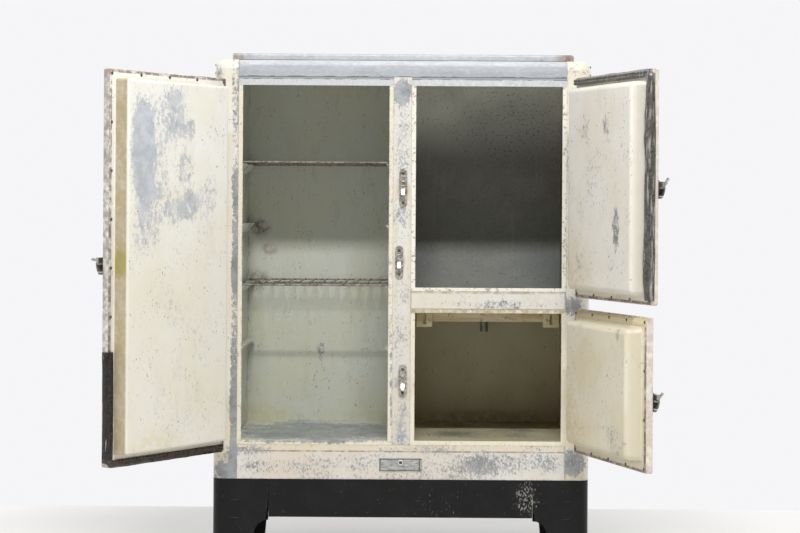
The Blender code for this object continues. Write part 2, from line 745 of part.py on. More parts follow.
def make_latch(word, side, height, door):
    """A surface latch: a long plate with a hooded mouth, and a lever turning on an upright pin above it."""
    middle = PAN_FREE_EDGE - 0.016
    plate_back = PAN_FACE - GAP
    plate_front = plate_back - 0.0028
    half, round_end = CASE_HALF_HEIGHT, CASE_HALF_WIDTH
    outline = arc((0, half - round_end), round_end, 0, 180, 8)
    outline += arc((0, round_end - half), round_end, 180, 360, 8)
    case = prism(
        f"{word}_door_latch_case",
        [[(side * middle + a, height + b) for a, b in outline]],
        plate_front,
        plate_back,
        "Y",
        NICKEL,
        door,
    )
    hood_top, hood_bottom, hood_out = 0.0085, -0.0170, 0.0170
    span = sorted((side * (middle - 0.010), side * (middle + 0.0235)))
    buried = plate_front + 0.001
    outline = [(buried, height + hood_top), (buried, height + hood_bottom)]
    for step in range(6):
        a = pi / 2 * step / 5
        outline.append((plate_front - hood_out * sin(a), height + 0.0005 + (hood_bottom - 0.0005) * cos(a)))
    outline.append((plate_front - hood_out, height + hood_top))
    hood = prism(f"{word}_hood", [outline], *span, "X", None, door)
    mouth_span = sorted((side * (middle + 0.004), side * (middle + 0.05)))
    mouth = block(
        f"{word}_mouth",
        (mouth_span[0], plate_front - 0.0125, height - 0.0120),
        (mouth_span[1], plate_front + 0.02, height + 0.0045),
        parent=door,
    )
    pivot_v = plate_front - 0.0085
    lever_low = height + hood_top + GAP
    lever_high = lever_low + LEVER_THICKNESS
    pin = rod(
        f"{word}_pivot",
        (side * middle, pivot_v, height + hood_top + (LEVER_THICKNESS + 0.004) / 2 - 0.002),
        PIVOT_RADIUS,
        LEVER_THICKNESS + 0.008,
        parent=door,
    )
    cut(join(case, hood), mouth)
    join(case, pin)
    pivot = bpy.data.objects.new(f"{word}_lever_axis", None)
    PARTS.objects.link(pivot)
    pivot.parent = door
    pivot.location = (side * middle, pivot_v, 0)
    arm = [(0.0215, -0.002), (0.0215, 0.0055), (0.0150, 0.0042), (0.0070, 0.0034)]
    arm += arc((0, 0), 0.0065, 38, 130, 4)
    arm += [(-0.016, 0.0020), (-0.034, -0.0035), (-0.052, -0.0085), (-0.064, -0.0085)]
    arm += arc((-0.0645, -0.0122), 0.0036, 95, 265, 4)
    arm += [(-0.050, -0.0150), (-0.032, -0.0105), (-0.016, -0.0065)]
    arm += arc((0, 0), 0.0065, 240, 310, 3)
    outlines = [[(side * u, v) for u, v in arm], circle((0, 0), PIVOT_RADIUS + 0.0004, 10)]
    prism(f"{word}_door_latch_lever", outlines, lever_low, lever_high, "Z", NICKEL, pivot)


def make_strike(word):
    """The keeper that a latch closes on, on the stile."""
    x = STRIKE_OFFSETS[word]
    z = LATCH_HEIGHTS[word]
    half, width = 0.040, 0.0095
    outline = arc((0, half - width), width, 0, 180, 8) + arc((0, width - half), width, 180, 360, 8)
    plate = prism(
        f"{word}_door_strike", [[(x + a, z + b) for a, b in outline]], -GAP - 0.0020, -GAP, "Y", NICKEL
    )
    keeper = block(
        f"{word}_keeper",
        (x - 0.0042, -0.0165, z - 0.0115),
        (x + 0.0042, -0.0012, z + 0.0040),
        rounds=[(lambda a, b: a.y < -0.016 and b.y < -0.016 and abs(a.z - b.z) < 1e-6, 0.0035)],
    )
    join(plate, keeper)


def make_gasket(name, outline, door, side):
    """A rubber strip in the plane of the door's edge."""
    back = PAN_BACK + GAP + SHEET + GAP
    prism(name, [[(side * u, z) for u, z in outline]], back, back + 0.0040, "Y", RUBBER, door)


def make_doors():
    food = make_door("food", 1, DOOR_BOTTOM, DOOR_TOP, OPENING_BOTTOM, OPENING_TOP, FOOD_DOOR_ANGLE)
    panel_bottom = ICE_OPENING_BOTTOM - ICE_PANEL_DROP
    ice = make_door("ice", -1, ICE_DOOR_BOTTOM, ICE_DOOR_TOP, panel_bottom, OPENING_TOP, ICE_DOOR_ANGLE)
    lower = make_door(
        "lower", -1, DOOR_BOTTOM, LOWER_DOOR_TOP, OPENING_BOTTOM, LOWER_OPENING_TOP, LOWER_DOOR_ANGLE
    )
    top_hinge = DOOR_TOP + 0.009 - KNUCKLE_HEIGHT
    foot = 0.040
    make_hinge("food", "upper", 1, top_hinge, food)
    make_hinge("food", "lower", 1, DOOR_BOTTOM + foot, food)
    make_hinge("ice", "upper", -1, top_hinge, ice)
    make_hinge("ice", "lower", -1, ICE_DOOR_BOTTOM + foot, ice)
    make_hinge("lower", "upper", -1, LOWER_DOOR_TOP - foot - 2 * KNUCKLE_HEIGHT, lower)
    make_hinge("lower", "lower", -1, DOOR_BOTTOM + foot, lower)
    for word in ("food", "ice", "lower"):
        make_strike(word)
    free = PAN_FREE_EDGE - 0.003
    near = PAN_HINGE_EDGE + 0.006
    strip = PANEL_FREE_SIDE + 0.0030
    bottom, top = DOOR_BOTTOM + 0.003, OPENING_BOTTOM + PANEL_CLEARANCE - 0.0030
    broken = bottom + 0.290
    remains = [(near, bottom), (free, bottom), (free, broken), (strip, broken), (strip, top), (near, top)]
    make_gasket("food_door_gasket", remains, food, 1)
    bottom, top = ICE_DOOR_BOTTOM + 0.006, ICE_DOOR_TOP - 0.003
    strip_top = OPENING_TOP - PANEL_CLEARANCE + 0.0030
    full = [(strip, bottom), (free, bottom), (free, top), (near, top), (near, strip_top), (strip, strip_top)]
    make_gasket("ice_door_gasket", full, ice, -1)


def centre_on_floor():
    """Moves the whole icebox so that the origin is at the middle of its bounding box, on the floor."""
    bpy.context.view_layer.update()
    graph = bpy.context.evaluated_depsgraph_get()
    low, high = Vector((9, 9, 9)), Vector((-9, -9, -9))
    for thing in PARTS.objects:
        if thing.type != "MESH":
            continue
        made = thing.evaluated_get(graph)
        for vertex in made.data.vertices:
            point = made.matrix_world @ vertex.co
            low = Vector(map(min, low, point))
            high = Vector(map(max, high, point))
    ROOT.location = (-(low.x + high.x) / 2, -(low.y + high.y) / 2, -low.z)


clear_scene()
PARTS = new_collection("icebox")
CUTTERS = new_collection("icebox_cutters")
ROOT = bpy.data.objects.new("icebox_origin", None)
PARTS.objects.link(ROOT)
CREAM = material("cream_enamel", (0.82, 0.78, 0.66), 0.45)
ENAMEL = material("pale_green_enamel", (0.62, 0.64, 0.53), 0.40)
ZINC = material("dark_zinc", (0.22, 0.23, 0.21), 0.50, 0.6)
GALVANISED = material("galvanised_steel", (0.42, 0.45, 0.48), 0.45, 0.7)
GREY_PAINT = material("grey_paint", (0.45, 0.46, 0.45), 0.60)
BLACK = material("black_paint", (0.015, 0.015, 0.016), 0.45)
NICKEL = material("worn_nickel", (0.45, 0.43, 0.40), 0.35, 0.9)
TIMBER = material("painted_timber", (0.55, 0.45, 0.27), 0.60)
WIRE = material("rusty_wire", (0.25, 0.19, 0.14), 0.60, 0.5)
RUBBER = material("black_rubber", (0.02, 0.02, 0.02), 0.60)
CORK = material("cork_board", (0.35, 0.24, 0.14), 0.90)

make_shell()
make_face()
make_liners()
make_insulation()
make_fittings()
make_shelf("upper_shelf", SHELF_LEDGES[0])
make_shelf("lower_shelf", SHELF_LEDGES[1])
make_base()
make_doors()
centre_on_floor()
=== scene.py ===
import json
from math import cos, pi, radians, sin

import bmesh
import bpy
from mathutils import Matrix, Vector, noise


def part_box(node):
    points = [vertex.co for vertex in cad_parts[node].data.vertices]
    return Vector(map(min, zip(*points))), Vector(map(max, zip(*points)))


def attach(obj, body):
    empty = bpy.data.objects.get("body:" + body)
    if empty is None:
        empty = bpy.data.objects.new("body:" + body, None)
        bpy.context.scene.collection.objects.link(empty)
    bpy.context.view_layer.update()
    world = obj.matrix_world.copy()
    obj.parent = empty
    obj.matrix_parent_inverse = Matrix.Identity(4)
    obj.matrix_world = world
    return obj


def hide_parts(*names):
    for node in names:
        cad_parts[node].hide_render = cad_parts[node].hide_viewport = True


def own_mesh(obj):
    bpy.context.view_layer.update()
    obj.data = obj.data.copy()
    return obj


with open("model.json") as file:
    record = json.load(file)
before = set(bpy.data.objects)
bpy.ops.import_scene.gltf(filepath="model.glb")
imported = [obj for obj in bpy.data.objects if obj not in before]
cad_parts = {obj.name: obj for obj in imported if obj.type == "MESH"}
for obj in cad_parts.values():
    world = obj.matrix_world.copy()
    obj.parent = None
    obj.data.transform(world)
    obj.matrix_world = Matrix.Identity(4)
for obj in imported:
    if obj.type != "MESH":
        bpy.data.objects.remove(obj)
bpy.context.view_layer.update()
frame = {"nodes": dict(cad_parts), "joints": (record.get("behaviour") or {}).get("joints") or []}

SCENE = bpy.context.scene

# ---------------------------------------------------------------- frames of reference

stile_low, stile_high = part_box("center_stile")
CABINET = Matrix.Translation(((stile_low.x + stile_high.x) / 2, stile_low.y, 0))
SIDES = {"food": 1, "ice": -1, "lower": -1}  # 1 where the door hangs on the left
DOORS = {}
for joint in frame["joints"]:
    word = joint["name"].split("_")[0]
    if joint["name"].endswith("_door_hinge"):
        turn = -SIDES[word] * radians(-joint["range_deg"][0])
        x, y, _ = joint["pos_m"]
        DOORS[word] = Matrix.Translation((x, y, 0)) @ Matrix.Rotation(turn, 4, "Z")

# Each door's own frame has its origin on the hinge's axis, x (times side) towards the free edge, -y outwards.
SPANS = {  # door low, high, opening low, high
    "food": (0.2936, 1.1739, 0.3126, 1.1617),
    "ice": (0.6605, 1.1795, 0.6733, 1.1617),
    "lower": (0.2936, 0.6344, 0.3126, 0.6188),
}
PAN_HINGE_EDGE, PAN_FREE_EDGE = 0.0153, 0.4120
PAN_FACE, PAN_BACK = 0.0080, 0.0246
PANEL_SPAN = (0.0492, 0.3940)
SHEET = 0.0012
HALF_WIDTH = 0.450
OPENING_TOP = 1.1603
RAIL_LOW = 1.1830
LID_LOW = 1.2220


def cabinet_box(node):
    """The low and high corners of a CAD node, in the cabinet's frame."""
    return [CABINET.inverted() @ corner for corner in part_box(node)]


# ---------------------------------------------------------------- materials


class Look:
    """The nodes of one material, built up from small steps. Lengths are in metres in the piece's own frame."""

    def __init__(self, name, material=None):
        self.material = material or bpy.data.materials.new(name)
        self.material.use_nodes = True
        self.tree = self.material.node_tree
        self.shader = self.tree.nodes["Principled BSDF"]
        self.place = self.node("ShaderNodeTexCoord").outputs["Object"]
        self.colour = None

    def node(self, kind, **settings):
        made = self.tree.nodes.new(kind)
        for key, value in settings.items():
            setattr(made, key, value)
        return made

    def feed(self, socket, value):
        if isinstance(value, bpy.types.NodeSocket):
            self.tree.links.new(value, socket)
        elif isinstance(value, (tuple, list)) and len(value) == 3 and socket.type == "RGBA":
            socket.default_value = (*value, 1.0)
        else:
            socket.default_value = value

    def math(self, operation, *values, clamp=False):
        made = self.node("ShaderNodeMath", operation=operation, use_clamp=clamp)
        for socket, value in zip(made.inputs, values):
            self.feed(socket, value)
        return made.outputs[0]

    def vector(self, operation, *values):
        made = self.node("ShaderNodeVectorMath", operation=operation)
        for socket, value in zip(made.inputs, values):
            self.feed(socket, value)
        return made.outputs["Value" if operation in ("LENGTH", "DOT_PRODUCT") else "Vector"]

    def part(self, axis):
        """The x, y or z of the point being shaded."""
        made = self.node("ShaderNodeSeparateXYZ")
        self.feed(made.inputs[0], self.place)
        return made.outputs[axis]

    def noise(self, scale, detail=4, rough=0.55, seed=0, stretch=(1, 1, 1)):
        """Noise with features about 1/scale metres across, from 0 to 1."""
        scaled = self.vector("MULTIPLY", self.place, stretch)
        moved = self.vector("ADD", scaled, (seed * 1.37, seed * 2.11, seed * 0.73))
        made = self.node("ShaderNodeTexNoise")
        self.feed(made.inputs["Vector"], moved)
        self.feed(made.inputs["Scale"], scale)
        self.feed(made.inputs["Detail"], detail)
        self.feed(made.inputs["Roughness"], rough)
        return made.outputs["Fac"]

    def band(self, value, low, high, to_low=0.0, to_high=1.0):
        """A smooth step from to_low, where the value is low, to to_high, where it is high."""
        made = self.node("ShaderNodeMapRange", interpolation_type="SMOOTHSTEP")
        for key, item in (
            ("Value", value), ("From Min", low), ("From Max", high), ("To Min", to_low), ("To Max", to_high)
        ):
            self.feed(made.inputs[key], item)
        return made.outputs[0]

    def mix(self, amount, first, second, blend="MIX"):
        made = self.node("ShaderNodeMix", data_type="RGBA", blend_type=blend)
        self.feed(made.inputs[0], amount)
        self.feed(made.inputs[6], first)
        self.feed(made.inputs[7], second)
        return made.outputs[2]

    def ground(self, amount, first, second):
        """Starts the colour."""
        self.colour = self.mix(amount, first, second)

    def coat(self, amount, tint, blend="MIX"):
        """Lays a tint over the colour so far."""
        self.colour = self.mix(amount, self.colour, tint, blend)

    def total(self, values):
        found = values[0]
        for value in values[1:]:
            found = self.math("ADD", found, value)
        return found

    def patch(self, centre, size, strength=1.0, soft=0.6):
        """A soft ellipsoid: strength at its middle, nothing outside."""
        away = self.vector("MULTIPLY", self.vector("SUBTRACT", self.place, centre), tuple(1 / s for s in size))
        return self.band(self.vector("LENGTH", away), 1.0 - soft, 1.0 + 0.35 * soft, strength, 0.0)

    def slab(self, axis, low, high, fade, strength=1.0):
        """Between two planes across an axis, fading over a short distance at both."""
        value = self.part(axis)
        up = self.band(value, low - fade, low + fade)
        down = self.band(value, high - fade, high + fade, 1.0, 0.0)
        return self.times(self.times(up, down), strength)

    def worn_edges(self, radius, strength):
        """Strong along the piece's sharp edges."""
        bevel = self.node("ShaderNodeBevel", samples=4)
        self.feed(bevel.inputs["Radius"], radius)
        normal = self.node("ShaderNodeNewGeometry").outputs["Normal"]
        alike = self.vector("DOT_PRODUCT", bevel.outputs[0], normal)
        return self.band(alike, 0.70, 0.99, strength, 0.0)

    def times(self, first, second):
        return self.math("MULTIPLY", first, second)

    def below(self, level, top, axis=2):
        """One below a level, and fading to nothing at top."""
        return self.band(self.part(axis), level, top, 1.0, 0.0)

    def lip(self):
        """The thin band of a liner that shows round its opening, in the plane of the cabinet's face."""
        return self.band(self.part(1), 0.0030, 0.0034, 1.0, 0.0)

    def bump(self, height, distance, strength=1.0):
        made = self.node("ShaderNodeBump")
        self.feed(made.inputs["Strength"], strength)
        self.feed(made.inputs["Distance"], distance)
        self.feed(made.inputs["Height"], height)
        self.feed(self.shader.inputs["Normal"], made.outputs[0])

    def finish(self, rough, height, distance, strength, **values):
        """Connects the colour and the rest, and gives the finished material."""
        for key, value in {"Base_Color": self.colour, "Roughness": rough, **values}.items():
            self.feed(self.shader.inputs[key.replace("_", " ")], value)
        self.bump(height, distance, strength)
        return self.material


BARE = (0.50, 0.535, 0.57)
BARE_DARK = (0.32, 0.35, 0.38)
RUST = (0.16, 0.065, 0.028)
CREAM = (0.80, 0.775, 0.69)
OLD_CREAM = (0.76, 0.69, 0.53)
DULL = ((0.37, 0.38, 0.385), (0.25, 0.26, 0.265))


def bare_metal(look, light=BARE, dark=BARE_DARK, rust=0.35, seed=0):
    """Dull zinc-coated steel with spangle, darker clouds and brown stains."""
    clouds = look.noise(26, 6, 0.6, seed + 11)
    grain = look.noise(420, 3, 0.6, seed + 12, stretch=(1, 1, 0.35))
    colour = look.mix(look.band(clouds, 0.36, 0.64), dark, light)
    colour = look.mix(look.band(grain, 0.40, 0.72, 0.0, 0.30), colour, tuple(1.25 * c for c in light))
    stained = look.band(look.noise(48, 8, 0.68, seed + 13), 0.60, 0.72, 0.0, rust)
    return look.mix(stained, colour, (0.20, 0.125, 0.075))


def enamel(
    name, paint=CREAM, aged=OLD_CREAM, under=(), wear=(), base=0.0, seed=0, stains=(), gloss=0.36, edges=0.16,
    edge_width=0.006, chip_size=1.0, specks=0.6, rust=0.35, drips=0.25, dents=0.0, lips=False, darker_below=None, head=False,
):
    """Old enamel: yellowed in clouds, speckled, and chipped down to metal.

    wear: (centre, size, strength) of each patch with more chips, or a function of the look.
    stains: (centre, size, tint, strength) of each stain. grime: bottom, top and tint of a zone darker towards the
    bottom.
    lips: cream lips round the opening. head: a bare lip above it.
    """
    look = Look(name)
    field = [base]
    for item in wear:
        field.append(item(look) if callable(item) else look.patch(*item))
    if edges:
        field.append(look.worn_edges(edge_width, edges))
    field.append(look.band(look.noise(9, 3, 0.5, seed + 7), 0.35, 0.7, -0.05, 0.05))
    field = look.total(field)
    coarse = look.noise(95 / chip_size, 10, 0.66, seed, stretch=(1, 1, 0.72))
    fine = look.noise(360 / chip_size, 6, 0.62, seed + 1)
    grit = look.noise(1000 / chip_size, 3, 0.6, seed + 2)
    level = look.total([
        look.times(coarse, 0.56), look.times(fine, 0.32),
        look.times(grit, 0.12), field,
    ])
    bare = look.band(level, 0.668, 0.684)
    rim = look.math("SUBTRACT", look.band(level, 0.652, 0.672), bare, clamp=True)
    film = look.band(level, 0.585, 0.68, 0.0, 0.42)

    look.ground(look.band(look.noise(5.5, 5, 0.6, seed + 3), 0.36, 0.68), paint, aged)
    if lips:
        look.coat(look.lip(), look.mix(look.band(fine, 0.35, 0.65), CREAM, (0.74, 0.66, 0.47)))
    dirt = look.noise(15, 8, 0.65, seed + 4, stretch=(1, 1, 0.45))
    look.coat(look.band(dirt, 0.50, 0.78, 0.0, drips), (0.46, 0.38, 0.26))
    # A zone darker towards the bottom.
    if darker_below:
        *zone, tint = darker_below
        look.coat(look.below(*zone), tint, "MULTIPLY")
    for centre, size, tint, strength in stains:
        ragged = look.band(look.noise(60, 6, 0.65, seed + 21), 0.30, 0.62)
        look.coat(look.times(look.patch(centre, size, strength), ragged), tint)
    look.coat(film, tuple(0.9 * c + 0.06 for c in BARE))
    spots = look.noise(250, 5, 0.7, seed + 5, stretch=(1, 1, 0.5))
    many = look.noise(18, 3, 0.6, seed + 6)
    spotted = look.times(look.band(spots, 0.612, 0.645), look.band(many, 0.42, 0.60, 0.0, specks))
    look.coat(spotted, (0.16, 0.125, 0.095))
    look.coat(look.times(rim, 0.55), (0.27, 0.19, 0.125))
    look.coat(bare, bare_metal(look, *under, rust=rust, seed=seed))
    if head:
        bare_head(look, fine)
    height = [look.times(bare, -1.0), look.times(fine, 0.5)]
    if dents:
        height.append(look.times(look.noise(12, 1, 0.4, seed + 8), dents))
    rough = look.band(dirt, 0.3, 0.7, gloss - 0.07, gloss + 0.14)
    rough = look.math("ADD", rough, look.times(bare, 0.10))
    return look.finish(rough, look.total(height), 0.00035, 0.55, Metallic=look.times(bare, 0.35))


def bare_head(look, mottled):
    """The bare lip above an opening: light below, and above it a ragged dark join and the grey of the rail's front,
    painted shade included as on the rail.
    """
    height = look.part(2)
    head = look.mix(look.band(mottled, 0.35, 0.65), (0.50, 0.51, 0.53), (0.64, 0.65, 0.66))
    seam_and_shade_line = RAIL_LOW - 0.0061
    # The grey above the join copies the rail's front, painted shade included.
    head = look.mix(look.band(height, seam_and_shade_line - 0.0003, seam_and_shade_line + 0.0003), head, (0.345, 0.36, 0.385))
    broken = look.band(look.noise(42, 5, 0.6, 61, stretch=(1, 1, 0.1)), 0.44, 0.54)
    dark_line = look.slab(2, seam_and_shade_line - 0.0007, seam_and_shade_line + 0.0007, 0.0003, 0.85)
    head = look.mix(look.times(dark_line, broken), head, (0.09, 0.085, 0.08))
    above = look.times(look.lip(), look.band(height, OPENING_TOP - 0.0003, OPENING_TOP + 0.0003))
    look.coat(above, head)


def metal(
    name, light, dark, rough=0.42, metallic=0.7, rust=0.35, seed=0, scratch=0.3, specks=0.0, tinted=(),
    stretch=(1, 1, 1), fade=None, seam_and_shade_line=None,
):
    """Bare metal with clouds, scratches and rust.

    tinted: (centre, size, tint, strength) of each tinted patch. fade: bottom, top and tint of a darker zone, painted
    shade.
    seam: low and high of a ragged dark line across the piece: a dark join on the rail, painted shade under the lid's
    rolled edge.
    """
    look = Look(name)
    clouds = look.noise(34, 7, 0.62, seed, stretch=stretch)
    look.ground(look.band(clouds, 0.33, 0.67), dark, light)
    fine = look.noise(300, 5, 0.65, seed + 1, stretch=(0.25, 1, 1))
    look.coat(look.band(fine, 0.42, 0.70, 0.0, scratch), tuple(min(1, 1.5 * c) for c in light))
    eaten = look.noise(70, 9, 0.7, seed + 2)
    rusted = look.band(eaten, 0.66 - 0.22 * rust, 0.74 - 0.18 * rust)
    rust_colour = look.mix(look.band(fine, 0.4, 0.6), RUST, (0.30, 0.16, 0.08))
    look.coat(look.times(rusted, 0.9), rust_colour)
    if specks:
        dots = look.band(look.noise(240, 4, 0.7, seed + 3), 0.64, 0.69, 0.0, specks)
        look.coat(dots, (0.05, 0.045, 0.04))
    # A darker zone low on the piece: painted shade.
    if fade:
        *zone, tint = fade
        look.coat(look.below(*zone), tint, "MULTIPLY")
    # A ragged dark line: a join on the rail, painted shade under the lid's rolled edge.
    if seam_and_shade_line:
        broken = look.band(look.noise(38, 5, 0.6, seed + 9, stretch=(1, 1, 0.1)), 0.46, 0.56)
        dark_line = look.slab(2, *seam_and_shade_line, 0.0004, 0.9)
        look.coat(look.times(dark_line, broken), (0.10, 0.095, 0.09))
    for centre, size, tint, strength in tinted:
        ragged = look.band(look.noise(40, 6, 0.65, seed + 21), 0.30, 0.60)
        look.coat(look.times(look.patch(centre, size, strength), ragged), tint)
    roughness = look.total([look.band(clouds, 0.3, 0.7, rough - 0.06, rough + 0.08), look.times(rusted, 0.25)])
    shine = look.band(rusted, 0.0, 1.0, metallic, metallic * 0.25) if metallic else 0.0
    height = look.total([look.times(fine, 0.5), look.times(rusted, 0.5)])
    return look.finish(roughness, height, 0.0003, 0.5, Metallic=shine)


# ---------------------------------------------------------------- building


def link(name, mesh, place, look, body, nodes=(), smooth=40):
    """Puts a mesh in its frame, gives it a look, and lets it ride on a body in place of CAD nodes."""
    made = bpy.data.objects.new(name, mesh)
    SCENE.collection.objects.link(made)
    made.matrix_world = place
    if look:
        mesh.materials.clear()
        mesh.materials.append(look)
    if smooth:
        mesh.shade_smooth()
        mesh.set_sharp_from_angle(angle=radians(smooth))
    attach(made, body)
    if nodes:
        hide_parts(*nodes)
    return made


def softened(thing, width, segments=2, angle=35):
    bevel = thing.modifiers.new("Edges", "BEVEL")
    bevel.width = width
    bevel.segments = segments
    bevel.limit_method = "ANGLE"
    bevel.angle_limit = radians(angle)
    bevel.harden_normals = True
    return thing


def refined(node, place, look, body, width=0.0004, suffix="skin", segments=2):
    """A CAD node's shape with clean faces, smooth curves and slightly rounded edges."""
    mesh = frame["nodes"][node].data.copy()
    mesh.transform(place.inverted())
    shape = bmesh.new()
    shape.from_mesh(mesh)
    bmesh.ops.remove_doubles(shape, verts=shape.verts, dist=0.00001)
    bmesh.ops.dissolve_limit(
        shape, angle_limit=radians(0.6), verts=shape.verts, edges=shape.edges, delimit={"NORMAL"}
    )
    bmesh.ops.triangulate(shape, faces=[face for face in shape.faces if len(face.verts) > 4])
    shape.to_mesh(mesh)
    shape.free()
    mesh.name = f"{node}_{suffix}"
    made = link(f"{node}_{suffix}", mesh, place, look, body, [node], 32)
    return softened(made, width, segments) if width else made


def cut_above(thing, level):
    """Trims a piece's mesh flat at a height."""
    shape = bmesh.new()
    shape.from_mesh(thing.data)
    everything = [*shape.verts, *shape.edges, *shape.faces]
    cut = bmesh.ops.bisect_plane(
        shape, geom=everything, plane_co=(0, 0, level), plane_no=(0, 0, 1), clear_outer=True
    )
    bmesh.ops.edgenet_fill(shape, edges=[item for item in cut["geom_cut"] if isinstance(item, bmesh.types.BMEdge)])
    bmesh.ops.recalc_face_normals(shape, faces=shape.faces)
    shape.to_mesh(thing.data)
    shape.free()


def mesh_of(name, shape):
    """Turns a bmesh into a mesh with outward faces, and frees it."""
    bmesh.ops.recalc_face_normals(shape, faces=shape.faces)
    mesh = bpy.data.meshes.new(name)
    shape.to_mesh(mesh)
    shape.free()
    return mesh


def join_shapes(shape, builder, matrix):
    """Runs a builder on a fresh bmesh and adds the result, moved by matrix."""
    other = bmesh.new()
    builder(other)
    bmesh.ops.transform(other, matrix=matrix, verts=other.verts)
    scratch = bpy.data.meshes.new("scratch")
    other.to_mesh(scratch)
    other.free()
    shape.from_mesh(scratch)
    bpy.data.meshes.remove(scratch)


def thickened(shape, points, push):
    """Adds a flat face through points and gives it a thickness."""
    face = shape.faces.new([shape.verts.new(point) for point in points])
    grown = bmesh.ops.extrude_face_region(shape, geom=[face])
    moved = [item for item in grown["geom"] if isinstance(item, bmesh.types.BMVert)]
    bmesh.ops.translate(shape, vec=push, verts=moved)


def box_shape(shape):
    bmesh.ops.create_cube(shape, size=1)


def dome_screw(shape, radius, height):
    """A slotted round-head screw seen from -Y, with its seat at the origin."""
    rings = []
    sides, levels = 16, 4
    for level in range(levels):
        a = pi / 2 * level / levels
        reach, turns = radius * cos(a), [2 * pi * i / sides for i in range(sides)]
        rings.append([shape.verts.new((reach * cos(turn), -height * sin(a), reach * sin(turn))) for turn in turns])
    tip = shape.verts.new((0, -height, 0))
    for first, second in zip(rings, rings[1:]):
        for i in range(sides):
            k = (i + 1) % sides
            shape.faces.new((first[i], first[k], second[k], second[i]))
    for i in range(sides):
        shape.faces.new((rings[-1][i], rings[-1][(i + 1) % sides], tip))
    shape.faces.new(rings[0])
    slot = Matrix.Translation((0, -height * 0.78, 0)) @ Matrix.Diagonal((radius * 1.5, height * 0.5, 0.0007, 1))
    bmesh.ops.create_cube(shape, size=1, matrix=slot)


def screws(name, places, place, look, body, radius=0.0038, height=0.0017, facing=None):
    """Screw heads at (x, y, z) points, facing -Y unless a turn is given."""
    shape = bmesh.new()
    for i, point in enumerate(places):
        spin = Matrix.Rotation(0.9 * i + 0.4, 4, "Y")
        matrix = Matrix.Translation(point) @ (facing or Matrix.Identity(4)) @ spin
        join_shapes(shape, lambda s: dome_screw(s, radius, height), matrix)
    mesh = mesh_of(name, shape)
    return link(name, mesh, place, look, body, (), 50)


def tube(name, paths, radius, place, look, body, nodes=(), sides=4, cyclic=False):
    """Round wire along each path of points."""
    curve = bpy.data.curves.new(name, "CURVE")
    curve.dimensions = "3D"
    curve.bevel_depth = radius
    curve.bevel_resolution = sides
    curve.use_fill_caps = True
    for path in paths:
        spline = curve.splines.new("POLY")
        spline.points.add(len(path) - 1)
        for point, co in zip(spline.points, path):
            point.co = (*co, 1)
        spline.use_cyclic_u = cyclic
    guide = bpy.data.objects.new(name + "_guide", curve)
    SCENE.collection.objects.link(guide)
    mesh = bpy.data.meshes.new_from_object(guide.evaluated_get(bpy.context.evaluated_depsgraph_get()))
    bpy.data.objects.remove(guide)
    bpy.data.curves.remove(curve)
    return link(name, mesh, place, look, body, nodes, 60)


def stepped(name, rings, side):
    """A pressed form through rings of (low u, high u, low z, high z, depth), the last one filled."""
    shape = bmesh.new()
    loops = []
    for low_u, high_u, low_z, high_z, depth in rings:
        corners = ((low_u, low_z), (high_u, low_z), (high_u, high_z), (low_u, high_z))
        loops.append([shape.verts.new((side * u, depth, z)) for u, z in corners])
    for outer, inner in zip(loops, loops[1:]):
        for i in range(4):
            k = (i + 1) % 4
            shape.faces.new((outer[i], outer[k], inner[k], inner[i]))
    shape.faces.new(loops[-1])
    bmesh.ops.recalc_face_normals(shape, faces=shape.faces)
    weight = shape.edges.layers.float.new("bevel_weight_edge")
    for edge in shape.edges:
        folded = len(edge.link_faces) == 2 and edge.calc_face_angle_signed()
        if folded:
            edge[weight] = 1.0 if folded > 0.3 else 0.3 if folded < -0.3 else 0.0
    mesh = bpy.data.meshes.new(name)
    shape.to_mesh(mesh)
    shape.free()
    return mesh


def press(thing, radius, segments):
    """Rounds the folds of a pressed form and gives it the thickness of sheet steel."""
    bevel = thing.modifiers.new("Edges", "BEVEL")
    bevel.width = radius
    bevel.segments = segments
    bevel.limit_method = "WEIGHT"
    bevel.harden_normals = False
    solid = thing.modifiers.new("Sheet", "SOLIDIFY")
    solid.thickness = SHEET
    solid.offset = -1.0
    solid.use_even_offset = True


# ---------------------------------------------------------------- camera, floor and light

camera_data = bpy.data.cameras.new("camera")
camera = bpy.data.objects.new("camera", camera_data)
SCENE.collection.objects.link(camera)
camera_data.lens = 90.43
camera_data.sensor_width = 36
camera_data.shift_x = -0.0351
camera_data.shift_y = -0.0784
camera.matrix_world = (
    CABINET
    @ Matrix.Translation((0.0617, -4.807, 0.880))
    @ Matrix.Rotation(radians(-0.367), 4, "Y")
    @ Matrix.Rotation(radians(90), 4, "X")
)
SCENE.camera = camera
SCENE.view_settings.view_transform = "Standard"
SCENE.view_settings.look = "None"

FLOOR_BACK = 1.006  # where the floor ends and the pale backdrop begins
floor_look = Look("pale_floor")
grey = floor_look.noise(1.6, 4, 0.5)
floor_look.ground(floor_look.band(grey, 0.3, 0.7), (0.80, 0.785, 0.765), (0.85, 0.84, 0.825))
shape = bmesh.new()
corners = [shape.verts.new(p) for p in ((-7, -7, 0), (7, -7, 0), (7, FLOOR_BACK, 0), (-7, FLOOR_BACK, 0))]
shape.faces.new(corners)
mesh = mesh_of("floor", shape)
mesh.materials.append(floor_look.finish(0.55, floor_look.noise(160, 4, 0.6), 0.0004, 0.3))
floor = bpy.data.objects.new("floor", mesh)
SCENE.collection.objects.link(floor)
floor.matrix_world = CABINET

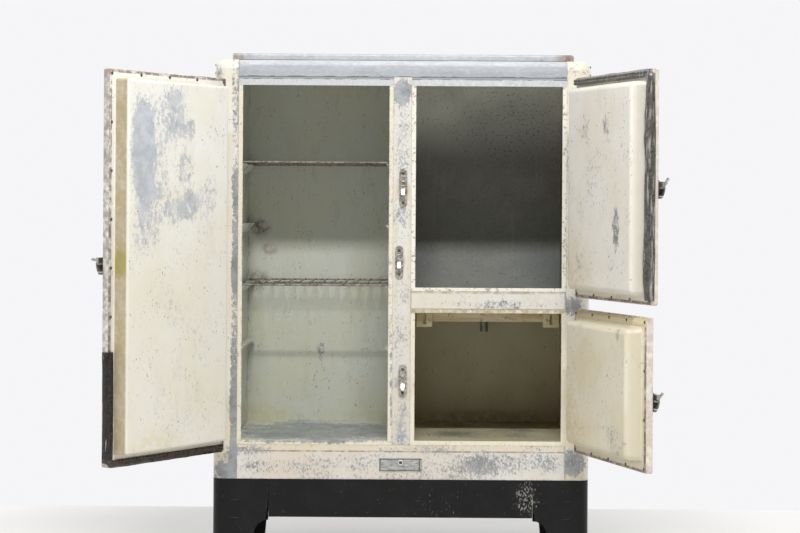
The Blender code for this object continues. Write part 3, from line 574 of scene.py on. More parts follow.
world = bpy.data.worlds.new("studio")
SCENE.world = world
world.use_nodes = True
tree = world.node_tree
background = tree.nodes["Background"]
background.inputs["Color"].default_value = (1.0, 1.0, 1.01, 1.0)
heading = tree.nodes.new("ShaderNodeTexCoord")
split = tree.nodes.new("ShaderNodeSeparateXYZ")
tree.links.new(heading.outputs["Generated"], split.inputs[0])
ahead = tree.nodes.new("ShaderNodeMapRange")  # dim on the camera's side of the room, bright elsewhere
ahead.interpolation_type = "SMOOTHSTEP"
for key, value in (("From Min", -0.85), ("From Max", 0.05), ("To Min", 0.20), ("To Max", 1.00)):
    ahead.inputs[key].default_value = value
tree.links.new(split.outputs["Y"], ahead.inputs["Value"])
tree.links.new(ahead.outputs[0], background.inputs["Strength"])
bright = tree.nodes.new("ShaderNodeBackground")
bright.inputs["Color"].default_value = (0.985, 0.985, 1.0, 1.0)
bright.inputs["Strength"].default_value = 0.93
path = tree.nodes.new("ShaderNodeLightPath")
choose = tree.nodes.new("ShaderNodeMixShader")
tree.links.new(path.outputs["Is Camera Ray"], choose.inputs[0])
tree.links.new(background.outputs[0], choose.inputs[1])
tree.links.new(bright.outputs[0], choose.inputs[2])
tree.links.new(choose.outputs[0], tree.nodes["World Output"].inputs["Surface"])


key_light = bpy.data.lights.new("key", "AREA")
key_light.shape = "RECTANGLE"
key_light.size, key_light.size_y = 1.6, 0.22
key_light.energy = 178
key_light.color = (1.0, 0.995, 0.985)
lamp = bpy.data.objects.new("key", key_light)
SCENE.collection.objects.link(lamp)
spot, target = CABINET @ Vector((0.15, -3.2, 4.13)), CABINET @ Vector((0, 0.2, 0.8))
lamp.matrix_world = Matrix.Translation(spot) @ (target - spot).to_track_quat("-Z", "Y").to_matrix().to_4x4()

# ---------------------------------------------------------------- looks of the cabinet

STILE = enamel(
    "stile_enamel", paint=(0.725, 0.715, 0.69), aged=(0.705, 0.665, 0.575), base=0.084, edges=0.20, edge_width=0.004,
    seed=3, specks=1.0, chip_size=0.45, under=((0.45, 0.47, 0.49), (0.28, 0.295, 0.31)),
    darker_below=(0.30, 0.95, (0.90, 0.875, 0.82, 1)),
    wear=[
        ((0, 0, 1.150), (0.030, 0.02, 0.035), 0.22),
        ((0.002, 0, 0.99), (0.018, 0.02, 0.20), 0.07),
        ((0.002, 0, 0.56), (0.018, 0.02, 0.26), 0.03),
        ((0.002, 0, 0.36), (0.018, 0.02, 0.06), 0.06),
    ],
    stains=[
        ((-0.0065, 0, 0.742), (0.016, 0.02, 0.030), (0.34, 0.20, 0.10), 0.8),
        ((0.0020, 0, 0.917), (0.016, 0.02, 0.040), (0.34, 0.20, 0.10), 0.9),
        ((0.0035, 0, 0.450), (0.016, 0.02, 0.040), (0.34, 0.20, 0.10), 0.9),
        ((-0.014, 0, 0.80), (0.006, 0.02, 0.28), (0.66, 0.56, 0.33), 0.6),
        ((0.017, 0, 0.80), (0.006, 0.02, 0.28), (0.66, 0.56, 0.33), 0.6),
    ],
)
ICE_RAIL = enamel(
    "ice_rail_enamel", paint=(0.70, 0.685, 0.645), aged=(0.68, 0.635, 0.53), base=0.075, edges=0.20,
    edge_width=0.004, seed=5, chip_size=0.5, specks=1.0, under=DULL,
    wear=[((0.20, 0, 0.640), (0.17, 0.02, 0.012), 0.06)],
    stains=[((0.20, 0, 0.669), (0.30, 0.02, 0.005), (0.30, 0.20, 0.11), 0.7)],
)
BOTTOM_RAIL = enamel(
    "bottom_rail_enamel", paint=(0.695, 0.685, 0.65), aged=(0.67, 0.60, 0.51), base=0.100, edges=0.10, seed=12,
    chip_size=0.5, specks=1.0, under=DULL,
    stains=[
        ((0, 0, 0.2990), (3.0, 0.5, 0.0120), (0.70, 0.62, 0.43), 0.95),
        ((0, 0, 0.2868), (3.0, 0.5, 0.0022), (0.28, 0.18, 0.10), 0.95),
        ((0, 0, 0.3100), (3.0, 0.5, 0.0030), (0.28, 0.18, 0.10), 0.75),
    ],
    wear=[
        ((0.235, 0, 0.258), (0.11, 0.05, 0.034), 0.11),
        ((0.365, 0, 0.262), (0.05, 0.05, 0.030), 0.05),
        ((-0.30, 0, 0.248), (0.09, 0.05, 0.020), 0.07),
        ((-0.11, 0, 0.262), (0.08, 0.05, 0.022), 0.05),
        ((-0.35, 0, 0.288), (0.06, 0.05, 0.012), 0.07),
        ((0.03, 0, 0.290), (0.10, 0.05, 0.010), 0.05),
    ],
)
LEFT_POST = enamel(
    "left_post_enamel", under=DULL, chip_size=0.7, paint=(0.77, 0.75, 0.68), base=0.020, edges=0.12, seed=17,
    specks=0.5, darker_below=(0.22, 0.40, (0.86, 0.82, 0.74, 1)),
    wear=[
        lambda look: look.slab(0, -0.409, -0.386, 0.003, 0.11),
        ((-0.398, 0, 0.78), (0.012, 0.05, 0.22), 0.12),
        ((-0.400, 0, 0.40), (0.016, 0.05, 0.18), 0.14),
        ((-0.415, 0, 0.265), (0.035, 0.06, 0.05), 0.16),
        ((-0.43, 0, 0.235), (0.05, 0.06, 0.025), 0.12),
        ((-0.445, 0.02, 1.19), (0.02, 0.05, 0.03), 0.12),
    ],
)
RIGHT_POST = enamel(
    "right_post_enamel", under=DULL, chip_size=0.6, paint=(0.77, 0.75, 0.68), base=0.040, edges=0.12, seed=19,
    specks=0.5,
    wear=[
        ((0.405, 0, 0.636), (0.035, 0.06, 0.028), 0.20),
        ((0.410, 0, 0.262), (0.045, 0.06, 0.040), 0.20),
        ((0.398, 0, 0.90), (0.010, 0.06, 0.25), 0.06),
        ((0.42, 0.0, 1.205), (0.04, 0.05, 0.02), 0.10),
    ],
)
SIDE = enamel(
    "side_enamel", aged=(0.775, 0.735, 0.62), base=0.012, edges=0.14, seed=23, specks=0.5, dents=1.4, chip_size=1.2,
    wear=[
        ((-0.45, 0.30, 0.26), (0.05, 0.20, 0.05), 0.10),
        ((0.45, 0.15, 0.25), (0.05, 0.16, 0.05), 0.12),
        ((0.45, 0.40, 1.10), (0.05, 0.07, 0.14), 0.08),
        ((-0.45, 0.38, 0.85), (0.05, 0.08, 0.05), 0.08),
        ((-0.45, 0.10, 0.60), (0.05, 0.03, 0.20), 0.05),
        ((0.0, 0.28, 1.224), (0.6, 0.3, 0.02), 0.06),
    ],
)
# The rail's flat front is darkened below its rounded top: painted shade, since the key light catches the top.
TOP_RAIL = metal(
    "bare_top_rail", (0.56, 0.57, 0.59), (0.47, 0.48, 0.505), rough=0.66, metallic=0.0, rust=0.10, seed=4,
    scratch=0.35, stretch=(0.35, 1, 1), fade=(1.2070, 1.2140, (0.71, 0.73, 0.76, 1)),
    seam_and_shade_line=(RAIL_LOW, RAIL_LOW + 0.0015),
)
# The dark line along the lid's lowest edge is painted shade under its rolled front edge.
LID = metal(
    "galvanised_lid", (0.47, 0.49, 0.51), (0.39, 0.41, 0.43), rough=0.60, metallic=0.15, rust=0.22, seed=8,
    scratch=0.4, stretch=(0.4, 1, 1), seam_and_shade_line=(LID_LOW, LID_LOW + 0.0018),
    tinted=[
        # The first patch is a painted highlight along the lid's front bead; the other two are rust at its ends.
        ((0.0, -0.005, 1.234), (1.8, 0.03, 0.02), (0.78, 0.80, 0.82), 0.80),
        ((-0.41, 0.2, 1.235), (0.05, 0.5, 0.05), (0.20, 0.10, 0.06), 0.85),
        ((0.41, 0.2, 1.235), (0.05, 0.5, 0.05), (0.20, 0.10, 0.06), 0.85),
    ],
)
LINER = enamel(
    "liner_enamel", paint=(0.60, 0.625, 0.56), aged=(0.605, 0.61, 0.495), base=0.005, edges=0.10, seed=31,
    under=((0.38, 0.405, 0.43), (0.24, 0.26, 0.275)), specks=1.0, gloss=0.30, drips=0.30, dents=1.0, lips=True,
    head=True,
    wear=[
        lambda look: look.times(look.lip(), 0.05),
        ((-0.21, 0.20, 0.312), (0.28, 0.26, 0.012), 0.25),
        ((-0.24, 0.42, 0.48), (0.12, 0.05, 0.10), 0.03),
        ((-0.39, 0.42, 0.70), (0.04, 0.1, 0.08), 0.05),
        ((-0.213, 0.42, 0.496), (0.012, 0.05, 0.034), 0.14),
    ],
    stains=[
        ((-0.36, 0.40, 0.325), (0.10, 0.10, 0.040), (0.55, 0.52, 0.30), 0.7),
        ((-0.10, 0.42, 0.325), (0.20, 0.05, 0.018), (0.55, 0.51, 0.34), 0.4),
        ((-0.385, 0.40, 0.68), (0.04, 0.08, 0.030), (0.16, 0.11, 0.06), 0.8),
        ((-0.372, 0.42, 0.815), (0.030, 0.08, 0.026), (0.14, 0.10, 0.06), 0.9),
        ((-0.350, 0.42, 0.760), (0.022, 0.08, 0.018), (0.20, 0.15, 0.09), 0.7),
    ],
)
LOWER_LINER = enamel(
    "lower_liner_enamel", paint=(0.50, 0.47, 0.31), aged=(0.44, 0.39, 0.24), base=0.012, edges=0.10, seed=37,
    specks=1.0, gloss=0.34, drips=0.45, dents=1.0, chip_size=0.8,
    under=((0.30, 0.29, 0.24), (0.20, 0.19, 0.15)), lips=True,
    wear=[((0.21, 0.25, 0.312), (0.26, 0.26, 0.012), 0.14)],
    stains=[
        ((0.21, 0.43, 0.32), (0.22, 0.05, 0.03), (0.26, 0.20, 0.10), 0.6),
        ((0.21, 0.0, 0.6225), (0.9, 0.01, 0.006), (0.40, 0.34, 0.20), 0.95),
    ],
)


def ice_zinc():
    """The ice chamber's bare sheet: pale at the top, nearly black in the middle, grey at the bottom."""
    look = Look("ice_zinc")
    height = look.part(2)
    clouds = look.noise(13, 8, 0.62, 2)
    mottled = look.noise(115, 8, 0.70, 5)
    tone = look.band(height, 0.98, 1.13)
    look.ground(tone, (0.200, 0.198, 0.172), (0.72, 0.72, 0.64))
    look.coat(look.below(0.735, 0.80), (0.245, 0.255, 0.245))
    look.coat(look.band(clouds, 0.40, 0.66, 0.0, 0.22), (0.42, 0.41, 0.33))
    corner = look.patch((0.29, 0.42, 1.070), (0.19, 0.3, 0.11), 1.0)
    look.coat(look.times(corner, 0.42), (0.16, 0.155, 0.14))
    speckled = look.total([look.noise(170, 7, 0.72, 5), look.times(corner, 0.035)])
    look.coat(look.band(speckled, 0.565, 0.66, 0.0, 0.75), (0.05, 0.048, 0.042))
    drips = look.noise(40, 6, 0.6, 9, stretch=(1, 1, 0.12))
    look.coat(look.band(drips, 0.55, 0.72, 0.0, 0.14), (0.48, 0.48, 0.43))
    light = look.noise(300, 4, 0.6, 12)
    look.coat(look.band(light, 0.62, 0.70, 0.0, 0.5), (0.50, 0.50, 0.46))
    lip = look.lip()
    worn = look.noise(120, 9, 0.66, 7)
    lip_colour = look.mix(look.band(worn, 0.56, 0.60), CREAM, (0.42, 0.38, 0.30))
    look.coat(lip, lip_colour)
    bare_head(look, mottled)
    height = look.total([mottled, look.times(look.noise(10, 1, 0.4, 14), 2.5)])
    shine = look.times(look.math("SUBTRACT", 1.0, lip), 0.25)
    return look.finish(look.band(clouds, 0.3, 0.7, 0.42, 0.60), height, 0.0005, 0.5, Metallic=shine)


def black_paint():
    """The base's wrinkled black paint, scuffed, and chipped by the right leg."""
    look = Look("black_base_paint")
    scuff = look.noise(30, 9, 0.70, 3, stretch=(0.6, 1, 0.6))
    chips = look.total([
        look.noise(260, 8, 0.68, 6, stretch=(1, 1, 0.7)),
        look.patch((0.300, 0, 0.175), (0.035, 0.05, 0.06), 0.13),
        look.patch((0.08, 0, 0.150), (0.09, 0.05, 0.045), 0.045),
        look.worn_edges(0.003, 0.07),
    ])
    look.ground(look.band(scuff, 0.42, 0.72, 0.0, 0.55), (0.0050, 0.0050, 0.0052), (0.0150, 0.0150, 0.0158))
    look.coat(look.band(chips, 0.675, 0.70), (0.30, 0.29, 0.27))
    look.coat(look.slab(2, -0.02, 0.010, 0.008, 0.7), (0.13, 0.07, 0.04))
    height = look.total([scuff, look.times(chips, 0.6)])
    return look.finish(look.band(scuff, 0.3, 0.7, 0.36, 0.50), height, 0.0003, 0.4, Specular_IOR_Level=0.26)


def plate_metal():
    """Tarnished plate with a dark scored border and a plain brushed field."""
    look = Look("nameplate_metal")
    brushed = look.noise(420, 5, 0.65, 3, stretch=(0.10, 1, 1))
    tarnish = look.noise(150, 7, 0.68, 9)
    look.ground(look.band(brushed, 0.36, 0.64), (0.30, 0.305, 0.30), (0.58, 0.585, 0.575))
    look.coat(look.band(tarnish, 0.48, 0.66, 0.0, 0.7), (0.20, 0.195, 0.18))
    across = look.math("ABSOLUTE", look.math("SUBTRACT", look.part(0), -0.0023))
    upright = look.math("ABSOLUTE", look.math("SUBTRACT", look.part(2), 0.2550))
    sides = look.times(look.band(across, 0.0455, 0.0462), look.band(across, 0.0480, 0.0487, 1.0, 0.0))
    ends = look.times(look.band(upright, 0.0118, 0.0125), look.band(upright, 0.0138, 0.0145, 1.0, 0.0))
    border = look.math("MAXIMUM", sides, ends)
    look.coat(look.times(border, 0.85), (0.07, 0.065, 0.055))
    height = look.total([brushed, look.times(border, -2.0)])
    return look.finish(look.band(tarnish, 0.3, 0.7, 0.34, 0.52), height, 0.0002, 0.6, Metallic=0.45)


def timber():
    look = Look("painted_timber")
    grain = look.noise(60, 6, 0.6, 1, stretch=(0.08, 1, 1))
    worn = look.noise(55, 9, 0.68, 4)
    look.ground(look.band(grain, 0.35, 0.65), (0.56, 0.50, 0.33), (0.42, 0.34, 0.18))
    look.coat(look.band(worn, 0.57, 0.62), (0.32, 0.22, 0.10))
    return look.finish(0.6, look.total([grain, worn]), 0.0006, 0.6)


def rubber():
    """Perished rubber: chalky and streaked on the ice door, its thin pale streaks painted highlights on the glossy
    ridges, black and scratched on the food door's remnant.
    """
    look = Look("old_rubber")
    wrinkle = look.noise(150, 6, 0.6, 2)
    streaks = look.noise(210, 5, 0.62, 8, stretch=(1, 1, 0.10))
    upper = look.band(look.part(2), 0.62, 0.66)
    glossy = look.mix(look.band(wrinkle, 0.4, 0.7), (0.009, 0.009, 0.009), (0.028, 0.026, 0.024))
    chalky = look.mix(look.band(wrinkle, 0.4, 0.7), (0.045, 0.042, 0.038), (0.105, 0.097, 0.089))
    look.ground(upper, glossy, chalky)
    bloom = look.times(look.band(streaks, 0.50, 0.62, 0.05, 0.9), upper)
    look.coat(bloom, (0.30, 0.285, 0.27))
    # Thin pale streaks: painted highlights along the seal's glossy ridges.
    look.coat(look.times(look.band(streaks, 0.66, 0.70), 0.8), (0.50, 0.49, 0.47))
    crumbling = look.times(look.below(0.308, 0.314), look.band(wrinkle, 0.35, 0.60))
    look.coat(crumbling, (0.060, 0.040, 0.024))
    return look.finish(look.band(wrinkle, 0.3, 0.7, 0.22, 0.42), wrinkle, 0.0008, 0.7)


ICE, BLACK, PLATE, TIMBER, RUBBER = ice_zinc(), black_paint(), plate_metal(), timber(), rubber()
BACK = enamel(
    "back_paint", paint=(0.40, 0.415, 0.41), aged=(0.34, 0.345, 0.33), base=0.02, edges=0.10, seed=43, gloss=0.50,
    specks=0.8, dents=1.5, under=((0.42, 0.44, 0.45), (0.28, 0.29, 0.30)), rust=0.6,
    wear=[((0.2, 0.48, 0.35), (0.25, 0.05, 0.10), 0.07), ((-0.3, 0.48, 1.0), (0.10, 0.05, 0.15), 0.05)],
)
PAN_UNDER = metal("galvanised_pan", (0.40, 0.42, 0.44), (0.27, 0.28, 0.29), rough=0.5, metallic=0.6, rust=0.4, seed=15)
NICKEL = metal("worn_nickel", (0.56, 0.54, 0.50), (0.36, 0.34, 0.31), rough=0.30, metallic=0.9, rust=0.30, seed=21)
STRIKE = metal(
    "stained_strike", (0.52, 0.50, 0.46), (0.17, 0.14, 0.11), rough=0.40, metallic=0.55, rust=0.35, seed=33,
    stretch=(4, 4, 4), specks=0.7,
)
BRIGHT = metal("bright_nickel", (0.92, 0.91, 0.89), (0.80, 0.79, 0.77), rough=0.34, metallic=0.85, rust=0.02, seed=22)
STEEL = metal("dull_steel", (0.30, 0.285, 0.26), (0.19, 0.175, 0.155), rough=0.42, metallic=0.7, rust=0.35, seed=24)
RUSTED = metal(
    "rusted_wire", (0.34, 0.31, 0.27), (0.06, 0.045, 0.035), rough=0.48, metallic=0.4, rust=0.25, seed=26,
    stretch=(3, 3, 3),
)
PAINTED_STRAP = enamel(
    "painted_strap", base=0.06, edges=0.20, edge_width=0.004, seed=47, under=((0.20, 0.13, 0.09), (0.12, 0.07, 0.045)),
)
SCREW = metal("old_screws", (0.15, 0.12, 0.095), (0.07, 0.05, 0.035), rough=0.5, metallic=0.6, rust=0.7, seed=28)
TUBE = metal("drain_metal", (0.30, 0.31, 0.28), (0.20, 0.20, 0.18), rough=0.5, metallic=0.5, rust=0.3, seed=30)

# ---------------------------------------------------------------- cabinet pieces

for look, slot, width, nodes in (
    (STILE, "cream_enamel", 0.0003, ["center_stile"]),
    (ICE_RAIL, "cream_enamel", 0.0003, ["ice_rail"]),
    (BOTTOM_RAIL, "cream_enamel", 0.0003, ["bottom_rail"]),
    (LEFT_POST, "cream_enamel", 0.0004, ["corner_post_left"]),
    (RIGHT_POST, "cream_enamel", 0.0004, ["corner_post_right"]),
    (SIDE, "cream_enamel", 0.0003, ["side_panel_left", "side_panel_right"]),
    (TOP_RAIL, "galvanised", 0.0003, ["top_rail"]),
    (LID, "galvanised", 0.0005, ["top_lid"]),
    (BACK, "grey_paint", 0.0003, ["back_panel"]),
    (PAN_UNDER, "galvanised", 0.0003, ["bottom_pan"]),
    (LINER, "liner_enamel", 0.0005, ["food_liner"]),
    (LOWER_LINER, "liner_enamel", 0.0005, ["lower_liner"]),
    (ICE, "zinc", 0.0005, ["ice_liner"]),
    (TIMBER, "timber", 0.0010, ["ice_floor_support"]),
    (TUBE, "zinc", 0.0003, ["drain_tube"]),
    (BLACK, "black_paint", 0.0005, ["front_apron", "back_apron", "side_apron_left", "side_apron_right"]),
    (BLACK, "black_paint", 0.0005, ["leg_front_left", "leg_front_right", "leg_rear_left", "leg_rear_right"]),
):
    for node in nodes:
        made = refined(node, CABINET, look, "cabinet", width)
        if node.endswith("liner"):
            made.modifiers.new("Triangles", "TRIANGULATE")

SCREW_INSET = 0.014
low, high = cabinet_box("back_panel")
x_span, z_span = (low.x + SCREW_INSET, high.x - SCREW_INSET), (low.z + SCREW_INSET, high.z - SCREW_INSET)
spots = []
for i in range(6):
    z = z_span[0] + (z_span[1] - z_span[0]) * i / 5
    spots += [(x, high.y, z) for x in x_span]
for i in range(1, 5):
    x = x_span[0] + (x_span[1] - x_span[0]) * i / 5
    spots += [(x, high.y, z) for z in z_span]
screws("back_screws", spots, CABINET, SCREW, "cabinet", 0.0042, 0.0018, Matrix.Rotation(pi, 4, "Z"))

# The back sheet's top edge rises to the lid and turns in under it.
corner = [(0.4265 + 0.0205 * cos(pi / 2 * i / 8), 1.2031 + 0.0205 * sin(pi / 2 * i / 8)) for i in range(9)]
outline = [(0.4470, 1.2023), *corner]
outline += [(-x, z) for x, z in reversed(outline)]
shape = bmesh.new()
thickened(shape, [(x, 0.4799, z) for x, z in outline], (0, -0.0011, 0))
join_shapes(shape, box_shape, Matrix.Translation((0, 0.4725, 1.2231)) @ Matrix.Diagonal((0.853, 0.0148, 0.0011, 1)))
made = link("back_return", mesh_of("back_return", shape), CABINET, BACK, "cabinet", (), 32)
softened(made, 0.0004)

plate = refined("nameplate", CABINET, PLATE, "cabinet", 0.0004)
plate.data.transform(Matrix.Translation((0, 0, 0.0055)))
low, high = cabinet_box("nameplate")
plate_x, plate_y, boss_z = (low.x + high.x) / 2, low.y, 0.2610
ring = [
    (plate_x + 0.0052 * cos(pi * i / 10), plate_y - 0.0004, boss_z + 0.0052 * sin(pi * i / 10)) for i in range(20)
]
tube("nameplate_ring", [ring], 0.0013, CABINET, BRIGHT, "cabinet", (), 4, True)
screws("nameplate_boss", [(plate_x, plate_y, boss_z)], CABINET, SCREW, "cabinet", 0.0040, 0.0020)

# ---------------------------------------------------------------- doors


def door_looks(word):
    side = SIDES[word]
    low, high, opening_low, opening_high = SPANS[word]
    middle = (low + high) / 2
    if word == "food":
        paint, aged, seed = (0.80, 0.795, 0.745), (0.78, 0.755, 0.655), 51
        chips = [  # u, z, reach in u, reach in z, strength
            (0.346, 0.985, 0.044, 0.165, 0.225),
            (0.300, 0.975, 0.055, 0.160, 0.090),
            (0.240, 1.105, 0.055, 0.040, 0.100),
            (0.220, 1.045, 0.055, 0.035, 0.090),
            (0.180, 1.045, 0.014, 0.035, 0.110),
            (0.200, 0.960, 0.035, 0.055, 0.110),
            (0.188, 0.870, 0.045, 0.042, 0.150),
            (0.240, 0.860, 0.040, 0.040, 0.100),
            (0.330, 0.810, 0.060, 0.070, 0.085),
            (0.120, 0.900, 0.035, 0.090, 0.065),
            (0.250, 0.960, 0.170, 0.230, 0.030),
            (0.250, 0.600, 0.150, 0.200, 0.022),
        ]
        marks = [(0.30, 0.33, 0.10, 0.05, (0.66, 0.56, 0.33), 0.5)]
    elif word == "ice":
        paint, aged, seed = (0.80, 0.775, 0.725), (0.75, 0.715, 0.62), 57
        chips = [
            (0.315, 0.830, 0.022, 0.060, 0.17, 0.5),
            (0.130, 0.755, 0.030, 0.040, 0.09),
            (0.260, 1.060, 0.022, 0.030, 0.13),
            (0.130, 1.060, 0.050, 0.050, 0.06),
            (0.250, 0.940, 0.100, 0.120, 0.02),
        ]
        marks = [(0.10, 0.72, 0.08, 0.05, (0.60, 0.48, 0.28), 0.5)]
    else:
        paint, aged, seed = (0.78, 0.745, 0.63), (0.72, 0.655, 0.49), 61
        chips = [(0.34, 0.36, 0.06, 0.05, 0.09), (0.20, 0.48, 0.12, 0.10, 0.02)]
        marks = [
            (0.09, 0.36, 0.06, 0.10, (0.56, 0.44, 0.22), 0.6),
            (0.345, 0.597, 0.009, 0.020, (0.16, 0.15, 0.13), 0.9),
        ]
    wear, stains = (
        [((side * u, 0.06, z), (across, 0.03, up), *rest) for u, z, across, up, *rest in rows]
        for rows in (chips, marks)
    )
    under = ((0.62, 0.655, 0.70), (0.48, 0.51, 0.55)) if word == "food" else DULL
    rim_tint = ((0.335, 0.30, 0.275), 1.0) if word == "food" else ((0.56, 0.46, 0.40), 0.75)
    panel = enamel(
        f"{word}_panel_enamel", paint=paint, aged=aged, seed=seed, base=0.034 if word == "food" else 0.046,
        edges=0.0, wear=wear, stains=stains, specks=1.0, dents=1.6, drips=0.20, under=under, chip_size=0.8,
        darker_below=(0.62, 1.00, (0.94, 0.925, 0.89, 1)),
    )
    look = panel_slopes(panel, side, word)
    pan = enamel(
        f"{word}_pan_enamel", aged=(0.775, 0.735, 0.62), seed=seed + 2, base=0.020, edges=0.10, edge_width=0.008,
        specks=0.6, dents=1.2,
        wear=[
            ((side * 0.39, 0, middle), (0.05, 0.03, 0.12), 0.05),
            ((side * 0.25, 0, low), (0.25, 0.03, 0.05), 0.06),
        ],
        stains=[
            ((side * 0.2, 0.024, high), (0.9, 0.012, 0.012), (0.36, 0.27, 0.20), 1.0),
            ((side * 0.2, 0.024, low), (0.9, 0.012, 0.012), (0.36, 0.27, 0.20), 1.0),
            ((side * 0.414, 0.018, middle), (0.014, 0.018, 1.8), *rim_tint),
            ((side * 0.0153, 0.022, middle), (0.010, 0.011, 1.6), (0.40, 0.32, 0.26), 0.9),
        ],
    )
    return look, pan


def panel_slopes(material, side, word):
    """Tints the sides of the raised panel, which are yellower than its face, and dirties the flange's seam."""
    look = Look(material.name, material)
    shader = look.shader
    look.colour = shader.inputs["Base Color"].links[0].from_socket
    depth = look.part(1)
    wall = look.times(look.band(depth, 0.0285, 0.0300), look.band(depth, 0.0585, 0.0625, 1.0, 0.0))
    tints = {"food": (0.44, 0.36, 0.21), "ice": (0.68, 0.65, 0.55), "lower": (0.66, 0.61, 0.46)}
    smudged = look.band(look.noise(45, 7, 0.66, 15), 0.30, 0.62, 0.62, 0.97)
    look.coat(look.times(wall, smudged), tints[word])
    if word == "food":
        olive = look.times(look.patch((side * 0.392, 0.045, 0.745), (0.02, 0.03, 0.035), 0.8), wall)
        look.coat(olive, (0.35, 0.30, 0.06))
    low, high, _, _ = SPANS[word]
    flange = look.band(depth, 0.0275, 0.0295, 1.0, 0.0)
    across = look.math("ABSOLUTE", look.part(0))
    rim = look.total([
        look.band(across, 0.4010, 0.4045), look.band(across, 0.0230, 0.0260, 1.0, 0.0),
        look.below(low + 0.0065, low + 0.0095), look.band(look.part(2), high - 0.0095, high - 0.0065),
    ])
    ragged = look.band(look.noise(70, 7, 0.65, 5), 0.34, 0.56, 0.25, 1.0)
    dirty = look.times(look.times(look.math("MINIMUM", rim, 1.0), flange), ragged)
    look.coat(look.times(dirty, 0.88), (0.14, 0.085, 0.055))
    if word == "lower":
        band_top = look.times(look.band(look.part(2), 0.612, 0.616), flange)
        look.coat(look.times(band_top, 0.85), (0.58, 0.49, 0.29))
    look.feed(shader.inputs["Base Color"], look.colour)
    return material


def wavy_strip(name, points, widths, base, bulge, drop, side):
    """A soft strip along points in the door's plane: two uneven rolls and a flap hanging over the door's edge."""
    shape = bmesh.new()
    rows = []
    count = len(points)
    for i, (u, z) in enumerate(points):
        before, after = points[max(0, i - 1)], points[min(count - 1, i + 1)]
        along = Vector((after[0] - before[0], after[1] - before[1])).normalized()
        across = Vector((-along.y, along.x))
        wide = widths * (1 + 0.06 * noise.noise(Vector((u * 60, z * 60, 7.7))))
        sway = noise.noise(Vector((u * 9, z * 9, 1.2)))
        high = bulge * (1 + 0.45 * sway + 0.16 * noise.noise(Vector((u * 45, z * 45, 4.2))))
        dip = 0.22 + 0.14 * noise.noise(Vector((u * 30, z * 30, 9.4)))
        low = base - drop * (1 + 0.22 * noise.noise(Vector((u * 14, z * 14, 5.5))))
        lap = 0.0026 + 0.0012 * noise.noise(Vector((u * 25, z * 25, 3.3)))
        profile = [(-wide / 2 - 0.0004, low), (-wide / 2 - lap, low), (-wide / 2 - lap, (low + base) / 2)]
        for k in range(13):
            a = pi * k / 12
            rise = max(0.0, sin(a)) ** 0.55 - dip * max(0.0, cos(2 * (a - pi / 2))) ** 4
            outer, raised = (lap, 0.001) if k == 0 else (0, 0)
            profile.append((wide / 2 * -cos(a) - outer, base + high * rise + raised))
        profile.append((-wide / 2 - 0.0004, base))
        row = []
        for offset, depth in profile:
            spot = Vector((u, z)) + across * offset
            row.append(shape.verts.new((side * spot.x, depth, spot.y)))
        rows.append(row)
    size = len(rows[0])
    for first, second in zip(rows, rows[1:]):
        for k in range(size):
            n = (k + 1) % size
            shape.faces.new((first[k], first[n], second[n], second[k]))
    shape.faces.new(rows[0])
    shape.faces.new(list(reversed(rows[-1])))
    return mesh_of(name, shape)


def line(start, end, step=0.008):
    count = max(2, int((Vector(end) - Vector(start)).length / step))
    return [tuple(Vector(start).lerp(Vector(end), i / count)) for i in range(count + 1)]


def shrunk(ring, margin):
    """A ring of (low u, high u, low z, high z), moved in by a margin."""
    return ring[0] + margin, ring[1] - margin, ring[2] + margin, ring[3] - margin


def build_door(word):
    """The shell, the raised inner panel and the screws round the rim."""
    side, place = SIDES[word], DOORS[word]
    low, high, opening_low, opening_high = SPANS[word]
    body = f"{word}_door"
    panel_look, pan_look = door_looks(word)
    edge = (PAN_HINGE_EDGE, PAN_FREE_EDGE, low, high)
    mouth = shrunk(edge, 0.016)
    mesh = stepped(f"{word}_pan", [(*mouth, PAN_BACK), (*edge, PAN_BACK), (*edge, PAN_FACE)], side)
    pan = link(f"{word}_door_shell", mesh, place, pan_look, body, [f"{word}_door_outer_pan"], 32)
    press(pan, 0.0035, 5)
    top = PAN_BACK + 0.0003 + SHEET
    base = (*PANEL_SPAN, opening_low + 0.0080, opening_high - 0.0080)
    face = shrunk(base, 0.0025)
    outer = shrunk(edge, 0.0022)
    rings = [(*outer, top), (*base, top), (*face, top - SHEET + 0.040)]
    mesh = stepped(f"{word}_panel", rings, side)
    panel = link(f"{word}_door_liner", mesh, place, panel_look, body, [f"{word}_door_inner_panel"], 32)
    press(panel, 0.0060 if word == "food" else 0.0120, 6)

    back = Matrix.Rotation(pi, 4, "Z")
    near, far = edge[0] + 0.0095, edge[1] - 0.0085
    spots = []
    count = round((high - low) / 0.108)
    for i in range(count + 1):
        z = low + 0.010 + (high - low - 0.020) * i / count
        spots += [(side * near, top, z), (side * far, top, z)]
    across = round((far - near) / 0.098)
    for i in range(1, across):
        u = near + (far - near) * i / across
        spots += [(side * u, top, low + 0.0095), (side * u, top, high - 0.0095)]
    screws(f"{word}_rim_screws", spots, place, SCREW, body, 0.0038, 0.0016, back)


for word in DOORS:
    build_door(word)

SEAL_BASE = 0.0262
SEAL_MIDDLE = 0.4045


def seal(word, points, bulge, drop):
    """A door's rubber seal, riding on the door."""
    mesh = wavy_strip(f"{word}_seal", points, 0.0150, SEAL_BASE, bulge, drop, SIDES[word])
    made = link(f"{word}_seal", mesh, DOORS[word], RUBBER, f"{word}_door", [f"{word}_door_gasket"], 60)
    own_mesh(made)


bottom, free = SPANS["food"][0] + 0.0085, SEAL_MIDDLE
along_bottom = line((0.0240, bottom), (free - 0.006, bottom))
seal("food", along_bottom + line((free, bottom + 0.006), (free, bottom + 0.246)), 0.0060, 0.0140)
low, high = SPANS["ice"][0] + 0.0105, SPANS["ice"][1] - 0.0110
along_top = line((free - 0.006, high), (0.0240, high))
seal("ice", line((free, low), (free, high - 0.006)) + along_top, 0.0125, 0.0075)

# ---------------------------------------------------------------- hinges, latches and strikes

STRAP_CREST = 1.2100


